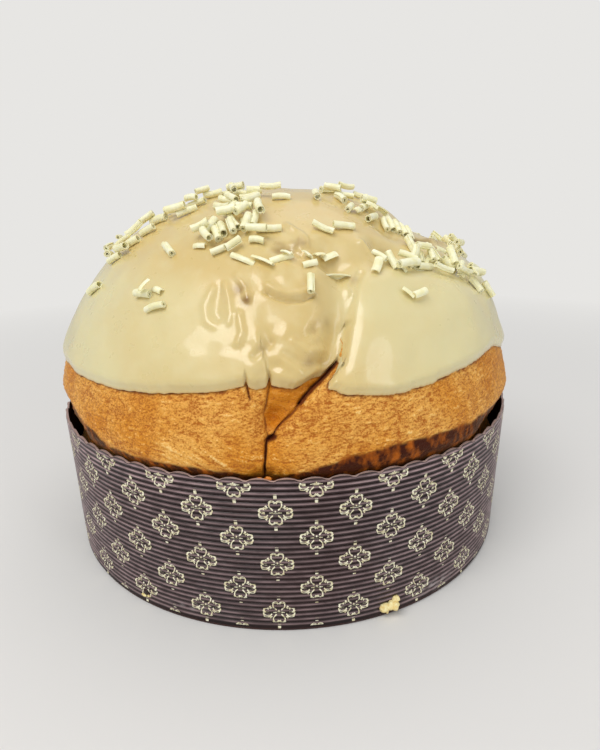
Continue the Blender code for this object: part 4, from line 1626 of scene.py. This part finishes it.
def softbox(name, place, width, height, power, colour):
    lamp = bpy.data.lights.new(name, "AREA")
    lamp.shape = "RECTANGLE"
    lamp.size, lamp.size_y = width, height
    lamp.energy = power
    lamp.color = colour
    made = bpy.data.objects.new(name, lamp)
    bpy.context.scene.collection.objects.link(made)
    made.location = place
    made.rotation_euler = (Vector(LIT_PLACE) - Vector(place)).to_track_quat("-Z", "Y").to_euler()


def build_camera():
    camera = bpy.data.cameras.new("camera")
    camera.lens = CAMERA_LENS
    camera.sensor_width = 36
    camera.shift_y = CAMERA_SHIFT
    camera.clip_start = 0.01
    made = bpy.data.objects.new("camera", camera)
    bpy.context.scene.collection.objects.link(made)
    pitch = Matrix.Rotation(math.radians(90 - CAMERA_PITCH), 4, "X")
    roll = Matrix.Rotation(math.radians(-CAMERA_ROLL), 4, "Z")
    made.matrix_world = Matrix.Translation(CAMERA_PLACE) @ pitch @ roll
    bpy.context.scene.camera = made


def build_stage(look):
    bpy.context.scene.view_settings.view_transform = "Standard"
    build_floor(look)
    build_world(look)
    for name, (place, width, height, share, colour) in LAMPS.items():
        softbox(name, place, width, height, look.key_power * share, colour)
    build_camera()


# ---------------------------------------------------------------------------------------------
# The add-on
# ---------------------------------------------------------------------------------------------


def measure(name, description, default):
    return bpy.props.FloatProperty(
        name=name, description=description, default=default, min=0, subtype="DISTANCE", unit="LENGTH",
        precision=5,
    )


def tint(name, description, default):
    return bpy.props.FloatVectorProperty(
        name=name, description=description, default=default, size=3, min=0, max=1, subtype="COLOR"
    )


class PanettoneSettings(bpy.types.PropertyGroup):
    """Sizes and colours of the panettone."""

    rib_count: bpy.props.IntProperty(
        name="Ribs", description="Ribs up the paper wall", default=29, min=4
    )
    rib_depth: measure("Rib depth", "How far a rib stands out of the wall", 0.6 * MM)
    foot_band: measure("Foot band", "Height of the smooth band at the foot of the wall", 1.7 * MM)
    unevenness: measure("Unevenness", "How far the wall strays from a true round", 0.8 * MM)
    paper_colour: tint("Paper", "Colour of the printed paper", linear(21, 7, 8))
    paper_warm_colour: tint("Warm paper", "Second colour of the printed paper", linear(34, 9, 7))
    # The colour of the painted highlight on the ribs' upper sides.
    paper_highlight_colour: tint("Rib crests", "Colour of the paper along the ribs", linear(190, 162, 164))
    board_colour: tint("Board", "Colour of the round base", linear(52, 28, 26))
    print_colour: tint("Print", "Colour of the printed motifs", linear(255, 252, 226))
    crust_relief: measure("Crust relief", "Height of the crust's wrinkles", 0.32 * MM)
    crust_colour: tint("Crust", "Colour of the browned crust", linear(222, 146, 38))
    crust_pale_colour: tint("Pale crust", "Second colour of the crust", linear(238, 176, 82))
    crust_valley_colour: tint("Creases", "Colour of the crust's creases", linear(176, 98, 14))
    crust_ridge_colour: tint("Ridges", "Colour of the crust's ridges", linear(255, 216, 140))
    tongue_colour: tint(
        "Opened crust", "Colour of the crust between the arms of the crack", linear(214, 134, 22)
    )
    # The dark crust above the rim, which also holds painted shade in the gap there.
    waist_colour: tint("Waist", "Colour of the dark crust above the rim", linear(62, 15, 3))
    waist_pale_colour: tint("Pale waist", "Second colour of the dark crust", linear(178, 92, 18))
    icing_thickness: measure("Icing thickness", "Thickness of the icing", 2.4 * MM)
    icing_colour: tint("Icing", "Colour of the icing", linear(224, 213, 162))
    # The darker, browner colour of the painted shade on the icing.
    icing_shaded_colour: tint("Warm icing", "Second colour of the icing", linear(216, 190, 126))
    curl_radius: measure("Curl radius", "Radius of a chocolate curl", 1.58 * MM)
    shortest_curl: measure("Shortest curl", "Length of the shortest curl", 5.0 * MM)
    longest_curl: measure("Longest curl", "Length of the longest curl", 8.5 * MM)
    chocolate_colour: tint("White chocolate", "Colour of the curls", linear(252, 249, 214))
    seed: bpy.props.IntProperty(name="Seed", description="Draws the places of the curls", default=7)
    floor_colour: tint("Floor", "Colour of the floor", (0.78, 0.77, 0.76))
    backdrop_colour: tint("Backdrop", "Colour behind the panettone", (0.80, 0.79, 0.77))
    key_power: bpy.props.FloatProperty(
        name="Key light", description="Power of the main light", default=5.7, min=0,
        subtype="POWER", unit="POWER",
    )
    world_strength: bpy.props.FloatProperty(
        name="World", description="Strength of the world's light", default=0.55, min=0
    )


class PANETTONE_OT_case_wall(bpy.types.Operator):
    """Build the ribbed paper wall"""

    bl_idname = "panettone.case_wall"
    bl_label = "Case wall"

    def execute(self, context):
        build_wall(context.scene.panettone)
        return {"FINISHED"}


class PANETTONE_OT_case_print(bpy.types.Operator):
    """Print the motifs on the paper wall"""

    bl_idname = "panettone.case_print"
    bl_label = "Printed motifs"

    def execute(self, context):
        build_print(context.scene.panettone)
        return {"FINISHED"}


class PANETTONE_OT_case_base(bpy.types.Operator):
    """Build the round base of the case"""

    bl_idname = "panettone.case_base"
    bl_label = "Case base"

    def execute(self, context):
        build_base(context.scene.panettone)
        return {"FINISHED"}


class PANETTONE_OT_loaf(bpy.types.Operator):
    """Build the loaf with its crust"""

    bl_idname = "panettone.loaf"
    bl_label = "Loaf"

    def execute(self, context):
        build_loaf(context.scene.panettone)
        return {"FINISHED"}


class PANETTONE_OT_icing(bpy.types.Operator):
    """Pour the icing over the loaf"""

    bl_idname = "panettone.icing"
    bl_label = "Icing"

    def execute(self, context):
        build_icing(context.scene.panettone)
        return {"FINISHED"}


class PANETTONE_OT_curls(bpy.types.Operator):
    """Strew the white chocolate curls and flakes"""

    bl_idname = "panettone.curls"
    bl_label = "Chocolate curls"

    def execute(self, context):
        build_curls(context.scene.panettone)
        return {"FINISHED"}


class PANETTONE_OT_crumbs(bpy.types.Operator):
    """Add the crumbs on the case"""

    bl_idname = "panettone.crumbs"
    bl_label = "Crumbs"

    def execute(self, context):
        build_crumbs()
        return {"FINISHED"}


class PANETTONE_OT_stage(bpy.types.Operator):
    """Set up the floor, the lights and the camera"""

    bl_idname = "panettone.stage"
    bl_label = "Stage"

    def execute(self, context):
        build_stage(context.scene.panettone)
        return {"FINISHED"}


OPERATORS = (
    PANETTONE_OT_case_wall,
    PANETTONE_OT_case_print,
    PANETTONE_OT_case_base,
    PANETTONE_OT_loaf,
    PANETTONE_OT_icing,
    PANETTONE_OT_curls,
    PANETTONE_OT_crumbs,
    PANETTONE_OT_stage,
)


class PANETTONE_PT_sidebar(bpy.types.Panel):
    """The panettone's pieces and settings"""

    bl_idname = "PANETTONE_PT_sidebar"
    bl_label = "Panettone"
    bl_space_type = "VIEW_3D"
    bl_region_type = "UI"
    bl_category = "Panettone"

    def draw(self, context):
        for operator in OPERATORS:
            self.layout.operator(operator.bl_idname)
        for key in PanettoneSettings.__annotations__:
            self.layout.prop(context.scene.panettone, key)


CLASSES = (PanettoneSettings, *OPERATORS, PANETTONE_PT_sidebar)


def register():
    for item in CLASSES:
        bpy.utils.register_class(item)
    bpy.types.Scene.panettone = bpy.props.PointerProperty(type=PanettoneSettings)


def unregister():
    del bpy.types.Scene.panettone
    for item in reversed(CLASSES):
        bpy.utils.unregister_class(item)


def main():
    register()
    bpy.ops.panettone.case_wall()
    bpy.ops.panettone.case_print()
    bpy.ops.panettone.case_base()
    bpy.ops.panettone.loaf()
    bpy.ops.panettone.icing()
    bpy.ops.panettone.curls()
    bpy.ops.panettone.crumbs()
    bpy.ops.panettone.stage()


if __name__ == "__main__":
    main()
